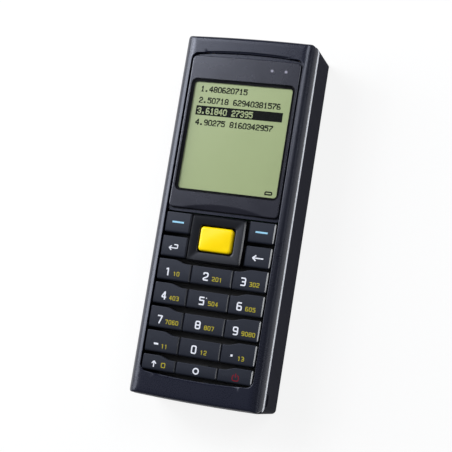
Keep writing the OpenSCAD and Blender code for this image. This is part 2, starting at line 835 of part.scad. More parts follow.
module lcd_holder() color([0.85, 0.85, 0.83]) {
    difference() {
        window_cut(lcd_border + holder_wall, board_top, plate_z);
        window_cut(lcd_border + fit, lcd_z, plate_z + cut);
        // light guide hollow under the panel, open towards the board inside its floor's rim
        window_cut(-guide_inset, board_top + guide_floor, lcd_z - guide_floor);
        window_cut(-guide_inset - guide_floor, board_top - cut, board_top + guide_floor + fuse);
    }
}

module display_flex() color([0.75, 0.5, 0.2]) {
    y = window_y - window_l / 2 - lcd_border - holder_wall;
    block(-flex_w / 2, flex_w / 2, y - flex_l, y, board_top, board_top + flex_t);
    block(-flex_w / 2 - 1, flex_w / 2 + 1, y - flex_l - socket_l / 3, y - flex_l + socket_l * 2 / 3,
        board_top + flex_t, board_top + flex_t + socket_t);
}

module light_pipes() color([0.75, 0.76, 0.8]) {
    z = board_top + led_t;
    at_pipes() {
        z_rod(0, 0, z, lens_z, pipe_d / 2 - fit / 2);
        z_rod(0, 0, z, z + pipe_d / 2, pipe_d / 2 + pipe_foot);
    }
}

module status_leds() color([0.9, 0.9, 0.6]) {
    at_pipes() translate([0, 0, board_top]) linear_extrude(led_t) square([led_w, led_l], center = true);
}

module main_board() color([0.08, 0.3, 0.18]) {
    difference() {
        block(-board_half, board_half, -board_end, board_end, board_z, board_top);
        at_board_screws() z_rod(0, 0, board_z - cut, board_top + cut, screw_d / 2 + fit);
        // corner cut away for the strap passage
        block(strap_x - strap_wall - part_clear, board_half + cut, -board_end - cut,
            strap_y + strap_slot_l + strap_wall + part_clear, board_z - cut, board_top + cut);
    }
}

// Place of each number key's middle: column -1, 0 or 1, and row 0 to 4
function key_x(col) = col * (side_x + field_half) / 2;
function row_y(row) = first_row_y - row * row_pitch;
function row_l(row) = row == rows - 1 ? last_key_l : key_l;
function row_mid(row) = row_y(row) - (wave_drop + row_l(row)) / 2 + actuator_lift;
soft_mid_x = (soft_key_x + field_half) / 2;
function soft_mid(row) = soft_key_y - row * soft_key_pitch - soft_key_l / 2;

// Children at the middle of every key that moves straight down
module at_keys() {
    for (row = [0:rows - 1], col = [-1:1]) translate([key_x(col), row_mid(row), 0]) children();
    for (row = [0, 1], side = [-1, 1]) translate([side * soft_mid_x, soft_mid(row), 0]) children();
}

// Children at the four posts of the navigation ring
module at_ring_posts() {
    for (side = [-1, 1]) {
        translate([side * ring_post_x, scan_y, 0]) children();
        translate([0, scan_y + side * ring_post_y, 0]) children();
    }
}

module key_contacts() color([0.85, 0.7, 0.3]) {
    top = board_top + contact_t_gold;
    at_keys() z_rod(0, 0, board_top, top, contact_r);
    at_ring_posts() z_rod(0, 0, board_top, top, ring_post_r);
    z_rod(0, scan_y, board_top, top, scan_contact_r);
}

module shield_can() color([0.7, 0.72, 0.74]) {
    w = shield_w / 2;
    difference() {
        block(-w, w, shield_y0, shield_y1, board_z - shield_h, board_z);
        block(-w + shield_wall, w - shield_wall, shield_y0 + shield_wall, shield_y1 - shield_wall,
            board_z - shield_h + shield_wall, board_z + cut);
    }
}

module processor() color([0.12, 0.12, 0.13]) {
    y = (shield_y0 + shield_y1) / 2;
    block(-chip_w / 2, chip_w / 2, y - chip_w / 2, y + chip_w / 2, board_z - chip_t, board_z);
}

module buzzer() color([0.1, 0.1, 0.11]) {
    translate([-(backup_d + buzzer_d) / 2 - part_gap, round_part_y, board_z - buzzer_h]) difference() {
        cylinder(d = buzzer_d, h = buzzer_h);
        translate([0, 0, -cut]) cylinder(r = buzzer_port_r, h = cut + buzzer_h / 3);
    }
}

module vibration_motor() color([0.72, 0.73, 0.75]) {
    translate([(backup_d + motor_d) / 2 + part_gap, round_part_y, board_z - motor_h])
        cylinder(d = motor_d, h = motor_h);
}

module backup_cell() color([0.78, 0.78, 0.8]) {
    translate([0, round_part_y, board_z - backup_h]) cylinder(d = backup_d, h = backup_h);
}

module board_screws() color([0.6, 0.6, 0.62]) {
    at_board_screws() {
        z_rod(0, 0, board_top, board_top + board_screw_head, post_r);
        z_rod(0, 0, board_z - board_screw_l + part_clear, board_top + fuse, screw_d / 2);
    }
}

// Children at the two screws of the board
module at_board_screws() {
    for (side = [-1, 1]) translate([side * board_screw_x, board_screw_y, 0]) children();
}

module keypad_mat() color([0.07, 0.07, 0.08]) {
    clear_w = actuator_w + 2 * mat_clear;
    clear_l = actuator_l + 2 * mat_clear;
    difference() {
        union() {
            block(-board_half, board_half, recess_bottom_y - mat_clear, keypad_top_y, board_top, mat_top);
            at_keys() block(-clear_w / 2 - collar_t, clear_w / 2 + collar_t,
                -clear_l / 2 - collar_t, clear_l / 2 + collar_t, mat_top - fuse, mat_top + collar_h);
        }
        at_keys() block(-clear_w / 2, clear_w / 2, -clear_l / 2, clear_l / 2,
            board_top - cut, mat_top + collar_h + cut);
        at_ring_posts() z_rod(0, 0, board_top - cut, mat_top + cut, ring_post_r + mat_clear);
        translate([0, scan_y, 0]) slab(scan_stem_w + 2 * mat_clear, scan_stem_l + 2 * mat_clear,
            scan_edge_r, board_top - cut, mat_top + cut);
    }
}

// Outline of a keycap between x0 and x1, whose upper edge follows the wave
function cap_outline(x0, x1, y1, l, drop) =
    concat([[x1, y1 - l], [x0, y1 - l]],
        [for (i = [0:wave_steps * 2]) let (x = x0 + (x1 - x0) * i / (wave_steps * 2))
            [x, drop ? wave_y(x, y1) : y1]]);

// A keycap: side bevels, a rounded lower edge, a crisp upper edge and a post below
module keycap(x0, x1, y1, l, drop = true) color([0.2, 0.21, 0.25]) {
    y0 = y1 - l;
    b = key_bevel;
    r = key_round;
    mid_x = (x0 + x1) / 2;
    mid_y = drop ? y1 - (wave_drop + l) / 2 + actuator_lift : y1 - l / 2;
    intersection() {
        translate([0, 0, key_z]) linear_extrude(key_t)
            offset(r = key_corner, $fn = 24) offset(delta = -key_corner)
                polygon(cap_outline(x0, x1, y1, l, drop));
        along_y(y0 - cut, y1 + cut)
            polygon([[x0, key_z], [x1, key_z], [x1, key_top - b], [x1 - b, key_top],
                [x0 + b, key_top], [x0, key_top - b]]);
        along_x(x0 - cut, x1 + cut) {
            translate([y0 + r, key_z]) square([l - r + cut, key_t]);
            translate([y0, key_z]) square([r, key_t - r]);
            translate([y0 + r, key_top - r]) circle(r);
        }
    }
    block(mid_x - actuator_w / 2, mid_x + actuator_w / 2,
        mid_y - actuator_l / 2, mid_y + actuator_l / 2, pill_z, key_z + fuse);
}

// Number key of one column and row
module number_key(col, row) {
    x0 = col == 0 ? -mid_half : side_x;
    x1 = col == 0 ? mid_half : field_half;
    mirror([col < 0 ? 1 : 0, 0, 0]) keycap(x0, x1, row_y(row), row_l(row));
}

// One of the four keys beside the ring
module upper_key(side, row) {
    mirror([side < 0 ? 1 : 0, 0, 0])
        keycap(soft_key_x, field_half, soft_key_y - row * soft_key_pitch, soft_key_l, false);
}

module soft_key_left() upper_key(-1, 0);
module soft_key_right() upper_key(1, 0);
module escape_key() upper_key(-1, 1);
module backspace_key() upper_key(1, 1);
module key_1() number_key(-1, 0);
module key_2() number_key(0, 0);
module key_3() number_key(1, 0);
module key_4() number_key(-1, 1);
module key_5() number_key(0, 1);
module key_6() number_key(1, 1);
module key_7() number_key(-1, 2);
module key_8() number_key(0, 2);
module key_9() number_key(1, 2);
module minus_key() number_key(-1, 3);
module key_0() number_key(0, 3);
module point_key() number_key(1, 3);
module function_key() number_key(-1, 4);
module backlight_key() number_key(0, 4);
module power_key() number_key(1, 4);

// Profile with two round upper corners, from its middle
module arch_profile(w, z0, z1, r) {
    translate([-w / 2, z0]) square([w, z1 - z0 - r]);
    translate([-w / 2 + r, z0]) square([w - 2 * r, z1 - z0]);
    for (side = [-1, 1]) translate([side * (w / 2 - r), z1 - r]) circle(r);
}

module scan_key() color([0.95, 0.85, 0.1]) {
    top = body_t + scan_proud;
    dome_r = (scan_w * scan_w / 4 + scan_dome * scan_dome) / (2 * scan_dome);
    translate([0, scan_y, 0]) {
        intersection() {
            slab(scan_w, scan_l, scan_r, scan_z, top);
            along_y(-scan_l, scan_l) arch_profile(scan_w, scan_z, top, scan_edge_r);
            along_x(-scan_w, scan_w) arch_profile(scan_l, scan_z, top, scan_edge_r);
            y_rod(-scan_l, scan_l, 0, top - dome_r, dome_r, $fn = 360);
        }
        slab(scan_stem_w, scan_stem_l, scan_edge_r, pill_z, scan_z + fuse);
    }
}

module navigation_ring() color([0.16, 0.17, 0.21]) {
    step_z = ring_top - ring_step;
    plateau_w = ring_w - 2 * ring_flange;
    plateau_l = ring_l - ring_flange;
    translate([0, scan_y, 0]) {
        difference() {
            union() {
                translate([0, 0, ring_z]) linear_extrude(step_z - ring_z) ring_plan(ring_w, ring_l);
                intersection() {
                    translate([0, 0, ring_z]) linear_extrude(ring_top - ring_z)
                        ring_plan(plateau_w, plateau_l);
                    along_y(-ring_l, ring_l) arch_profile(plateau_w, ring_z, ring_top, ring_shoulder);
                    along_x(-ring_w, ring_w) arch_profile(plateau_l, ring_z, ring_top, ring_shoulder);
                }
            }
            slab(scan_w + 2 * ring_gap, scan_l + 2 * ring_gap, scan_r + ring_gap, ring_z - cut, ring_top + cut);
        }
    }
    at_ring_posts() z_rod(0, 0, board_top + ring_post_gap, ring_z + fuse, ring_post_r);
}

// Plan of the ring: its sides and its ends bow outwards a little
module ring_plan(w, l) {
    x = w / 2 - ring_bow;
    y = l / 2 - ring_bow;
    rotate(90) polygon(bowed(2 * y, -x, x, ring_r, ring_bow, ring_bow));
    polygon(bowed(2 * x, -y, y, ring_r, ring_bow, ring_bow));
}

module ring_collar() color([0.09, 0.09, 0.1]) {
    outer_w = 2 * (ring_post_x - ring_post_r - collar_margin);
    outer_l = 2 * (ring_post_y - ring_post_r - collar_margin);
    top = collar_plate_z + collar_plate_t;
    translate([0, scan_y, 0]) {
        difference() {
            slab(outer_w, outer_l, scan_r, collar_plate_z, top);
            slab(scan_stem_w + 4 * collar_margin, scan_stem_l + 4 * collar_margin, scan_edge_r,
                collar_plate_z - cut, top + cut);
        }
    }
}

module scan_engine() color([0.13, 0.13, 0.14]) {
    z = scan_window_z;
    difference() {
        union() {
            block(-engine_w / 2, engine_w / 2, engine_y, engine_end, engine_z, engine_z + engine_h);
            y_rod(engine_end - cut, engine_end + optic_l, 0, z, optic_r + optic_wall);
        }
        y_rod(engine_end - optic_depth, engine_end + optic_l + cut, 0, z, optic_r);
        for (side = [-1, 1])
            translate([side * engine_w / 3, 0, z])
                block(-led_pitch - fit, led_pitch + fit, engine_end - led_bay, engine_end + cut,
                    -2 * led_r, 2 * led_r);
    }
}

module scan_optics() color([0.6, 0.65, 0.75]) {
    y_rod(engine_end - optic_depth / 2, engine_end + optic_l / 4, 0, scan_window_z, optic_r);
}

module scan_leds() color([0.8, 0.1, 0.1]) {
    for (side = [-1, 1], i = [-1, 1])
        y_rod(engine_end - led_bay, engine_end + led_r / 2, side * engine_w / 3 + i * led_pitch / 2,
            scan_window_z, led_r);
}

module scan_window() color([0.35, 0.03, 0.05]) {
    on_end_wall(half_l - window_t - window_sink, window_t)
        round_rect(scan_window_w - 2 * fit, scan_window_h - 2 * fit, window_corner_r - fit);
}

// One cell, with its button towards +Y or towards -Y
module cell(x, up) {
    foot = bay_bottom_y + contact_t + (up ? spring_l : 0);
    middle = foot + cell_l / 2;
    translate([x, middle, 0]) mirror([0, up ? 0 : 1, 0]) {
        y_rod(-cell_l / 2, cell_l / 2 - button_l, 0, cell_z, cell_d / 2);
        y_rod(cell_l / 2 - button_l - fuse, cell_l / 2, 0, cell_z, button_r);
    }
}

module battery_cells() color([0.72, 0.74, 0.76]) {
    cell(-cell_pitch / 2, true);
    cell(cell_pitch / 2, false);
}

// Conical spring from a wide foot to a narrow tip, drawn upwards
module cone_spring(l, r0, r1) {
    turns = 3;
    ring = 8;
    steps = 48;
    wire = spring_wire / 2;
    height = l - spring_wire;
    points = [for (i = [0:steps], j = [0:ring - 1])
        let (t = i / steps, a = 360 * turns * t, r = r0 + (r1 - r0) * t, b = 360 * j / ring)
        [(r + wire * cos(b)) * cos(a), (r + wire * cos(b)) * sin(a), wire + height * t + wire * sin(b)]];
    sides = [for (i = [0:steps - 1], j = [0:ring - 1])
        [i * ring + j, i * ring + (j + 1) % ring, (i + 1) * ring + (j + 1) % ring, (i + 1) * ring + j]];
    start = [for (j = [0:ring - 1]) ring - 1 - j];
    end = [for (j = [0:ring - 1]) steps * ring + j];
    polyhedron(points, concat([start], sides, [end]));
}

module contact_springs() color([0.8, 0.8, 0.78]) {
    foot_r = plate_w / 2 - spring_wire - part_clear;
    tip_r = button_r + part_clear;
    translate([-cell_pitch / 2, bay_bottom_y + contact_t, cell_z]) rotate([-90, 0, 0])
        cone_spring(spring_l, foot_r, tip_r);
    translate([cell_pitch / 2, bay_top_y - contact_t, cell_z]) rotate([90, 0, 0])
        cone_spring(spring_l, foot_r, tip_r);
}

module contact_plates() color([0.8, 0.8, 0.78]) {
    for (y = [bay_bottom_y, bay_top_y - contact_t], side = [-1, 1])
        translate([side * cell_pitch / 2, y, cell_z])
            block(-plate_w / 2, plate_w / 2, 0, contact_t, -plate_w / 2, plate_w / 2);
}

module battery_door() color([0.1, 0.1, 0.15]) {
    latch_top = latch_z + latch_t + latch_slack;
    difference() {
        union() {
            block(-door_w / 2, door_w / 2, door_end_y, hinge_y - hinge_r - door_gap, 0, door_t);
            block(-knuckle_w / 2, knuckle_w / 2, door_end_y, hinge_y, 0, door_t);
            x_rod(-knuckle_w / 2, knuckle_w / 2, hinge_y, hinge_z, hinge_r);
            x_rod(-ear_x - ear_w, ear_x + ear_w, hinge_y, hinge_z, pin_d / 2);
            // box of the latch
            block(-pocket_w / 2 - latch_box_wall, pocket_w / 2 + latch_box_wall, door_end_y,
                pocket_top_y + latch_box_wall, 0, door_t + latch_box_t);
        }
        // pocket with side grooves, and the slot of the tongue
        block(-pocket_w / 2, pocket_w / 2, pocket_bottom_y, pocket_top_y, -cut, latch_top);
        block(-pocket_w / 2 - latch_rail, pocket_w / 2 + latch_rail, pocket_bottom_y, pocket_top_y,
            latch_z + latch_slack, latch_top);
        block(-tongue_w / 2 - door_gap, tongue_w / 2 + door_gap, door_end_y - cut, pocket_bottom_y + cut,
            latch_z + latch_t - tongue_t - latch_slack, latch_top);
        // finger grooves across the outside
        for (i = [0:grooves - 1])
            x_rod(-groove_w / 2, groove_w / 2, door_end_y + groove_margin + groove_pitch * i,
                groove_depth - groove_r, groove_r);
    }
}

module door_latch() color([0.14, 0.14, 0.19]) {
    z1 = latch_z + latch_t;
    difference() {
        union() {
            block(-latch_w / 2, latch_w / 2, latch_y, latch_y + latch_l, latch_z, z1);
            block(-latch_w / 2 - latch_rail, latch_w / 2 + latch_rail, latch_y, latch_y + latch_l,
                z1 - latch_rail_t, z1);
            block(-tongue_w / 2, tongue_w / 2, pocket_bottom_y - latch_end / 2, latch_y + cut,
                z1 - tongue_t, z1);
        }
        // grip grooves across the slider
        for (i = [-1:1])
            x_rod(1 - latch_w / 2, latch_w / 2 - 1, latch_y + latch_l / 2 + groove_r * i,
                latch_z, groove_r / 4);
    }
}

module charge_contacts() color([0.85, 0.7, 0.3]) {
    at_pads() block(-pad_w / 2, pad_w / 2, -pad_l / 2, pad_l / 2, pad_sink, wall + pad_t);
}

// Children at the middle of each charging contact
module at_pads() {
    for (i = [0:contact_pads - 1])
        translate([pad_pitch * (i - (contact_pads - 1) / 2), pad_y, 0]) children();
}

module infrared_window() color([0.08, 0.02, 0.05]) {
    on_end_wall(-half_l + window_sink, infrared_t) round_rect(infrared_w, infrared_h, infrared_r);
}

module case_screws() color([0.55, 0.55, 0.58]) {
    slot_w = screw_d / 5;
    slot_l = screw_head_d * 0.6;
    at_bosses() {
        difference() {
            z_rod(0, 0, screw_sink, screw_sink + screw_head_t, screw_head_d / 2);
            for (a = [0, 90])
                rotate(a) block(-slot_l / 2, slot_l / 2, -slot_w / 2, slot_w / 2,
                    screw_sink - cut, screw_sink + screw_head_t / 2);
        }
        z_rod(0, 0, screw_sink + screw_head_t - fuse, screw_sink + screw_head_t + screw_l, screw_d / 2);
    }
}

module screw_inserts() color([0.8, 0.65, 0.3]) {
    at_bosses() difference() {
        z_rod(0, 0, boss_split_z, boss_split_z + insert_l, insert_d / 2);
        z_rod(0, 0, boss_split_z - cut, boss_split_z + insert_l + cut, screw_d / 2);
    }
}

front_housing();
rear_housing();
housing_seal();
display_lens();
lens_mask();
lcd_panel();
lcd_holder();
display_flex();
light_pipes();
status_leds();
main_board();
key_contacts();
shield_can();
processor();
buzzer();
vibration_motor();
backup_cell();
board_screws();
keypad_mat();
soft_key_left();
soft_key_right();
escape_key();
backspace_key();
key_1();
key_2();
key_3();
key_4();
key_5();
key_6();
key_7();
key_8();
key_9();
minus_key();
key_0();
point_key();
function_key();
backlight_key();
power_key();
scan_key();
navigation_ring();
ring_collar();
scan_engine();
scan_optics();
scan_leds();
scan_window();
battery_cells();
contact_springs();
contact_plates();
battery_door();
door_latch();
charge_contacts();
infrared_window();
case_screws();
screw_inserts();
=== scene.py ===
# %% [markdown]
# # A pocket data terminal, dressed for a studio picture
#
# The construction comes from CAD: every case half, key, spring and screw is already there, in metres,
# lying on its back with +Z up through the keys and +Y towards the display. This lesson gives each of
# them a finish, and models the pieces whose surfaces the plain solids can't show, such as moulded
# keycaps and printed digits. The frame is loaded first.

import bmesh
import bpy
import json
import math
from mathutils import Matrix, Vector


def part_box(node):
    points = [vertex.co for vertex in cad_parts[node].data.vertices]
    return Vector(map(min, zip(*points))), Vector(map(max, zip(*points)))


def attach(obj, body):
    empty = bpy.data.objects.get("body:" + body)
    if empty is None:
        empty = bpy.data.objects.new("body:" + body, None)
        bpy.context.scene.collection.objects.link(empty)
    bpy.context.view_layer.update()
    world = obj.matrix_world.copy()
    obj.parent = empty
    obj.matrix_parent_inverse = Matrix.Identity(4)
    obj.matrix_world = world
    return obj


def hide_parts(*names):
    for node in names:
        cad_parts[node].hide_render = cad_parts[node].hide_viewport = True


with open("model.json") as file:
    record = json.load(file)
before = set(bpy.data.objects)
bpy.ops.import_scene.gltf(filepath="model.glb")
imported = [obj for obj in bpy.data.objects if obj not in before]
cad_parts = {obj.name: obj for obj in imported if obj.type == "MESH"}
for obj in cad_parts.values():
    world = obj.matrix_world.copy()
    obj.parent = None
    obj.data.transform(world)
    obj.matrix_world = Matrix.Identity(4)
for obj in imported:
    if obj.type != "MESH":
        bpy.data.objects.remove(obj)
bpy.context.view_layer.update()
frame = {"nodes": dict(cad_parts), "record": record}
nodes = frame["nodes"]
MM = 0.001


def box(node):
    """Lowest and highest corner of a CAD node, in millimetres."""
    low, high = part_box(node)
    return Vector(low) / MM, Vector(high) / MM


# %% [markdown]
# ## Camera
#
# A product camera stands well back with a long lens, so that the case hardly tapers. Here it is
# almost above the keys, a little to the right and towards the user, and rolled so that the terminal
# leans to the left in the picture. Two directions fix its rotation: where it looks, and which way
# the right side of the picture points.

# %% Camera
camera_place = Vector((127.27, -51.66, 425.22)) * MM
camera_aim = Vector((2.434, -3.064, 26.5)) * MM
picture_right = Vector((0.94748, 0.15953, -0.2772))
focal_pixels = 1111.3
picture_pixels = 452
sensor_width = 36

back = (camera_place - camera_aim).normalized()
right = (picture_right - picture_right.dot(back) * back).normalized()
camera_data = bpy.data.cameras.new("camera")
camera_data.sensor_width = sensor_width
camera_data.lens = focal_pixels / picture_pixels * sensor_width
camera_data.clip_start, camera_data.clip_end = 0.05, 20
camera = bpy.data.objects.new("camera", camera_data)
camera.rotation_mode = "QUATERNION"
camera.rotation_quaternion = Matrix((right, back.cross(right), back)).transposed().to_quaternion()
camera.location = camera_place
bpy.context.scene.collection.objects.link(camera)
bpy.context.scene.camera = camera
print("lens in mm:", round(camera_data.lens, 2))

# %% [markdown]
# ## Light
#
# Satin plastic shows its form by what it mirrors, so each lamp is placed for one surface. A wide
# softbox up and to the left of the top end makes the flat front fade from light to dark. One low on
# the left fills the rolled edge there, a smaller one beyond the top end puts a soft highlight on the
# right edge, and a thin strip low on the right draws a line along the keys and the bevel of the rear
# housing. Lamps are used for this and not the world, which only fills the shadows a little.

# %% Light
def softbox(name, place, aim, width, height, power, colour=(0.95, 0.97, 1)):
    """Adds a rectangular lamp that faces a point: its width is level, its height stands up."""
    lamp = bpy.data.lights.new(name, "AREA")
    lamp.shape = "RECTANGLE"
    lamp.size, lamp.size_y = width, height
    lamp.energy = power
    lamp.color = colour
    holder = bpy.data.objects.new(name, lamp)
    holder.location = place
    holder.rotation_mode = "QUATERNION"
    holder.rotation_quaternion = (Vector(aim) - Vector(place)).to_track_quat("-Z", "Y")
    bpy.context.scene.collection.objects.link(holder)
    print(name, "shines", power, "W on", round(width * height, 3), "square metres")


softbox("softbox_top", (-0.53, 0.4, 0.75), (0, 0.05, 0), 0.42, 0.42, 5.6)
softbox("softbox_left", (-0.6, 0.14, 0.33), (0, 0.14, 0), 0.45, 0.5, 4.8)
softbox("softbox_back", (0.4, 0.36, 0.68), (0, 0.05, 0), 0.36, 0.3, 2.2)
softbox("strip_right", (0.6, 0.074, 0.172), (0, 0.074, 0), 0.6, 0.06, 0.2)

world = bpy.data.worlds.new("studio")
bpy.context.scene.world = world
world.use_nodes = True
sky = world.node_tree.nodes["Background"]
sky.inputs["Color"].default_value = (0.92, 0.95, 1, 1)
sky.inputs["Strength"].default_value = 0.13
bpy.context.scene.view_settings.view_transform = "Standard"

# %% [markdown]
# ## A way to write shaders
#
# A procedural finish is a sum of masks and noises. Wired by hand that is a page of Math nodes, so a
# small class wraps a socket, and Python's own operators add the nodes. Every other kind of node
# comes from one method, which takes the node's type, its settings and the values of its sockets.

# %% Shader sockets as Python values
class Shade:
    """An output socket of a material, with operators that add Math nodes."""

    def __init__(self, tree, socket):
        self.tree = tree
        self.socket = socket

    def node(self, kind, settings=(), values=(), output=0):
        """Adds a node: its settings first, then the values or links of its sockets."""
        made = self.tree.nodes.new(kind)
        for name, value in dict(settings).items():
            setattr(made, name, value)
        for name, value in dict(values).items():
            if isinstance(value, Shade):
                self.tree.links.new(value.socket, made.inputs[name])
            else:
                made.inputs[name].default_value = value
        return Shade(self.tree, made.outputs[output])

    def math(self, operation, *values):
        return self.node("ShaderNodeMath", {"operation": operation}, enumerate(values))

    def __add__(self, other):
        return self.math("ADD", self, other)

    def __sub__(self, other):
        return self.math("SUBTRACT", self, other)

    def __rsub__(self, other):
        return self.math("SUBTRACT", other, self)

    def __mul__(self, other):
        return self.math("MULTIPLY", self, other)

    def __pow__(self, other):
        return self.math("POWER", self, other)

    def __abs__(self):
        return self.math("ABSOLUTE", self)

    def at_least(self, other):
        return self.math("MAXIMUM", self, other)

    def at_most(self, other):
        return self.math("MINIMUM", self, other)

    def step(self, low, high):
        """Rises smoothly from 0 at low to 1 at high."""
        return self.node("ShaderNodeMapRange", {"interpolation_type": "SMOOTHSTEP"},
                         {"Value": self, "From Min": low, "From Max": high})

    def axis(self, letter):
        """One axis of a vector."""
        return self.node("ShaderNodeSeparateXYZ", (), {0: self}, letter)

    def facing(self, letter):
        """How far the surface faces along an axis of its own piece."""
        return self.node("ShaderNodeTexCoord", output="Normal").axis(letter)

    def noise(self, scale, detail=2.0):
        """Noise with a scale in blobs per metre."""
        return self.node("ShaderNodeTexNoise", (), {"Vector": self, "Scale": scale, "Detail": detail})

    def blend(self, low, high):
        """A colour between two others, by this value."""
        return self.node("ShaderNodeMix", {"data_type": "RGBA"}, {0: self, 6: low, 7: high}, 2)

    def bump(self, depth):
        """A normal that this value raises by depth in metres."""
        return self.node("ShaderNodeBump", (), {"Height": self, "Distance": depth})

    __radd__ = __add__
    __rmul__ = __mul__


def colour(red, green, blue, gain=1.0):
    """The linear colour of a shade written from 0 to 255, made lighter or darker by gain."""
    def linear(value):
        value /= 255
        return value / 12.92 if value <= 0.04045 else ((value + 0.055) / 1.055) ** 2.4
    return (*(gain * linear(value) for value in (red, green, blue)), 1)


materials = {}


def new_material(slot, **constants):
    """Starts the material of a slot, and gives its shader and its place in space."""
    material = bpy.data.materials.new(slot)
    material.use_nodes = True
    tree = material.node_tree
    shader = tree.nodes["Principled BSDF"]
    for name, value in constants.items():
        shader.inputs[name.replace("_", " ")].default_value = value
    materials[slot] = material
    return shader, Shade(tree, tree.nodes.new("ShaderNodeTexCoord").outputs["Object"])


def wire(shader, **links):
    """Links values to the shader's sockets."""
    for name, value in links.items():
        value.tree.links.new(value.socket, shader.inputs[name.replace("_", " ")])


# %% [markdown]
# ## Moulded plastics
#
# A steel mould is spark eroded, which leaves a fine grain on the plastic that breaks up the gloss.
# The tint is never quite even either. A picture of real plastic would show its own light, so the
# grain and the clouds are noises. One function makes all such plastics, from the case to the keys,
# with the size and depth of the grain as parameters.

# %% Moulded plastics
def moulded(slot, tint, roughness, depth=4e-6, grain=2600, cloudy=0.12, **constants):
    """Plastic with a spark-eroded grain, a slightly uneven tint and an uneven gloss."""
    shader, place = new_material(slot, **constants)
    fine = place.noise(grain)
    cloud = place.noise(90, 3.0)
    shade = cloud * 0.7 + fine * 0.3
    wire(shader, Base_Color=shade.blend(colour(*tint, 1 - cloudy), colour(*tint, 1 + cloudy)))
    wire(shader, Roughness=roughness - 0.05 + fine * 0.06 + cloud * 0.04, Normal=fine.bump(depth))
    return shader, place


satin_tint = (0.84, 0.87, 1, 1)
moulded("front_plastic", (24, 26, 39), 0.28, Specular_IOR_Level=0.5, Specular_Tint=satin_tint)
moulded("latch_plastic", (30, 31, 40), 0.45)
moulded("engine_plastic", (24, 24, 26), 0.5)
moulded("chip", (26, 26, 28), 0.6)
moulded("white_plastic", (225, 225, 220), 0.5)
moulded("seal_rubber", (14, 14, 16), 0.75, depth=8e-6)
moulded("light_pipe", (196, 197, 204), 0.3, depth=1e-6)
moulded("led", (235, 232, 180), 0.35, depth=1e-6)
moulded("scan_yellow", (252, 216, 0), 0.3, depth=3e-6, cloudy=0.04, Specular_IOR_Level=0.25)
print("plastics:", len(materials))

# %% [markdown]
# ## Polished edges
#
# Fingers polish the edges that stand proud: the bevels at the right of the keys, and the long bevel where the
# rear housing meets the front. They could be thin pieces of their own, but the plastic is one piece, so a mask
# gives it a glossy coat there. For the keys the mask is how far the surface faces right, and for the rear
# housing it is the height above the seam. The coat's high refraction makes a thin edge catch the strip lamp. On
# the rear housing the bevel's colour is also painted a light, partly metallic grey, a painted highlight that
# keeps the line bright.

# %% Polished edges of the keys and the ring
polish = {"Coat_IOR": 3.1, "Coat_Roughness": 0.15, "Specular_Tint": satin_tint}
recess_side = (19 * MM, 20 * MM)


def edged(slot, tint, roughness, shine):
    """Key plastic, polished where it faces right, most of all beside the recess."""
    shader, place = moulded(slot, tint, roughness, Specular_IOR_Level=0.35, **polish)
    outermost = place.axis("X").step(*recess_side)
    wire(shader, Coat_Weight=place.facing("X").step(0.4, 0.6) * shine * (0.4 + outermost * 0.6))
    print(slot, "shines by", shine)


edged("key_plastic", (29, 32, 41), 0.42, 1.0)
edged("ring_plastic", (8, 9, 13), 0.34, 1.6)

# %% Polished bevel of the rear housing, with a painted highlight
rear_top = box("rear_housing")[1].z
bevel_low = rear_top - 0.5
bevel_end, bevel_fade = 69.2, 0.6
shader, place = moulded("rear_plastic", (30, 31, 43), 0.55, Specular_IOR_Level=0.01, **polish)
above = place.axis("Z").step((bevel_low - 0.1) * MM, bevel_low * MM)
beside = 1 - abs(place.axis("Y")).step(bevel_end * MM, (bevel_end + bevel_fade) * MM)
bevel = above * beside
moulded_tint = place.noise(90, 3.0).blend(colour(28, 29, 40), colour(32, 33, 46))
# Painted highlight: the bevel is coloured light grey and made partly metallic, so its line shows brighter than
# its coat alone mirrors.
painted_highlight_tint = colour(190, 194, 206)
wire(shader, Coat_Weight=bevel, Metallic=bevel * 0.6, Base_Color=bevel.blend(moulded_tint, painted_highlight_tint))
print("the bevel runs from z", round(bevel_low, 2), "to", round(rear_top, 2))

# %% [markdown]
# ## Metals and inner parts
#
# Springs, contacts and screws are plated. Plating is smooth, but handling leaves fine scratches
# and a cloudy sheen, so the roughness wanders, and a stretched noise adds the marks of drawing. The
# board, the flex and the small windows are plastics in other colours, so they come from a list.

# %% Metals
def plated(slot, tint, roughness, stretch=(1, 1, 1), depth=1.5e-6):
    """Plated metal with a cloudy sheen and fine marks drawn out along an axis."""
    shader, place = new_material(slot, Metallic=1.0)
    drawn = place.node("ShaderNodeMapping", (), {"Vector": place, "Scale": stretch})
    marks = drawn.noise(3000)
    cloud = place.noise(250, 3.0)
    wire(shader, Base_Color=cloud.blend(colour(*tint, 0.85), colour(*tint, 1.08)))
    wire(shader, Roughness=roughness + cloud * 0.15 + marks * 0.08 - 0.1, Normal=marks.bump(depth))


plated("gold_plate", (232, 190, 110), 0.25)
plated("brass_insert", (205, 165, 85), 0.35, (1, 1, 0.1))
plated("steel", (150, 152, 158), 0.35)
plated("tinned_steel", (190, 192, 196), 0.4, (1, 0.08, 1))
plated("cell_steel", (200, 202, 205), 0.3)
plated("nickel", (205, 202, 194), 0.28)

for slot, tint, roughness in [("flex_film", (190, 120, 35), 0.3), ("board", (12, 62, 38), 0.35),
                              ("optic_glass", (120, 135, 160), 0.06), ("red_led", (170, 12, 14), 0.2),
                              ("red_window", (70, 4, 10), 0.08), ("dark_window", (26, 6, 14), 0.1),
                              ("cell_wrap", (60, 62, 68), 0.35)]:
    moulded(slot, tint, roughness, depth=0.5e-6)
moulded("mask_print", (12, 12, 16), 0.6, depth=0.5e-6, Specular_IOR_Level=0.1)
print("finishes so far:", len(materials))

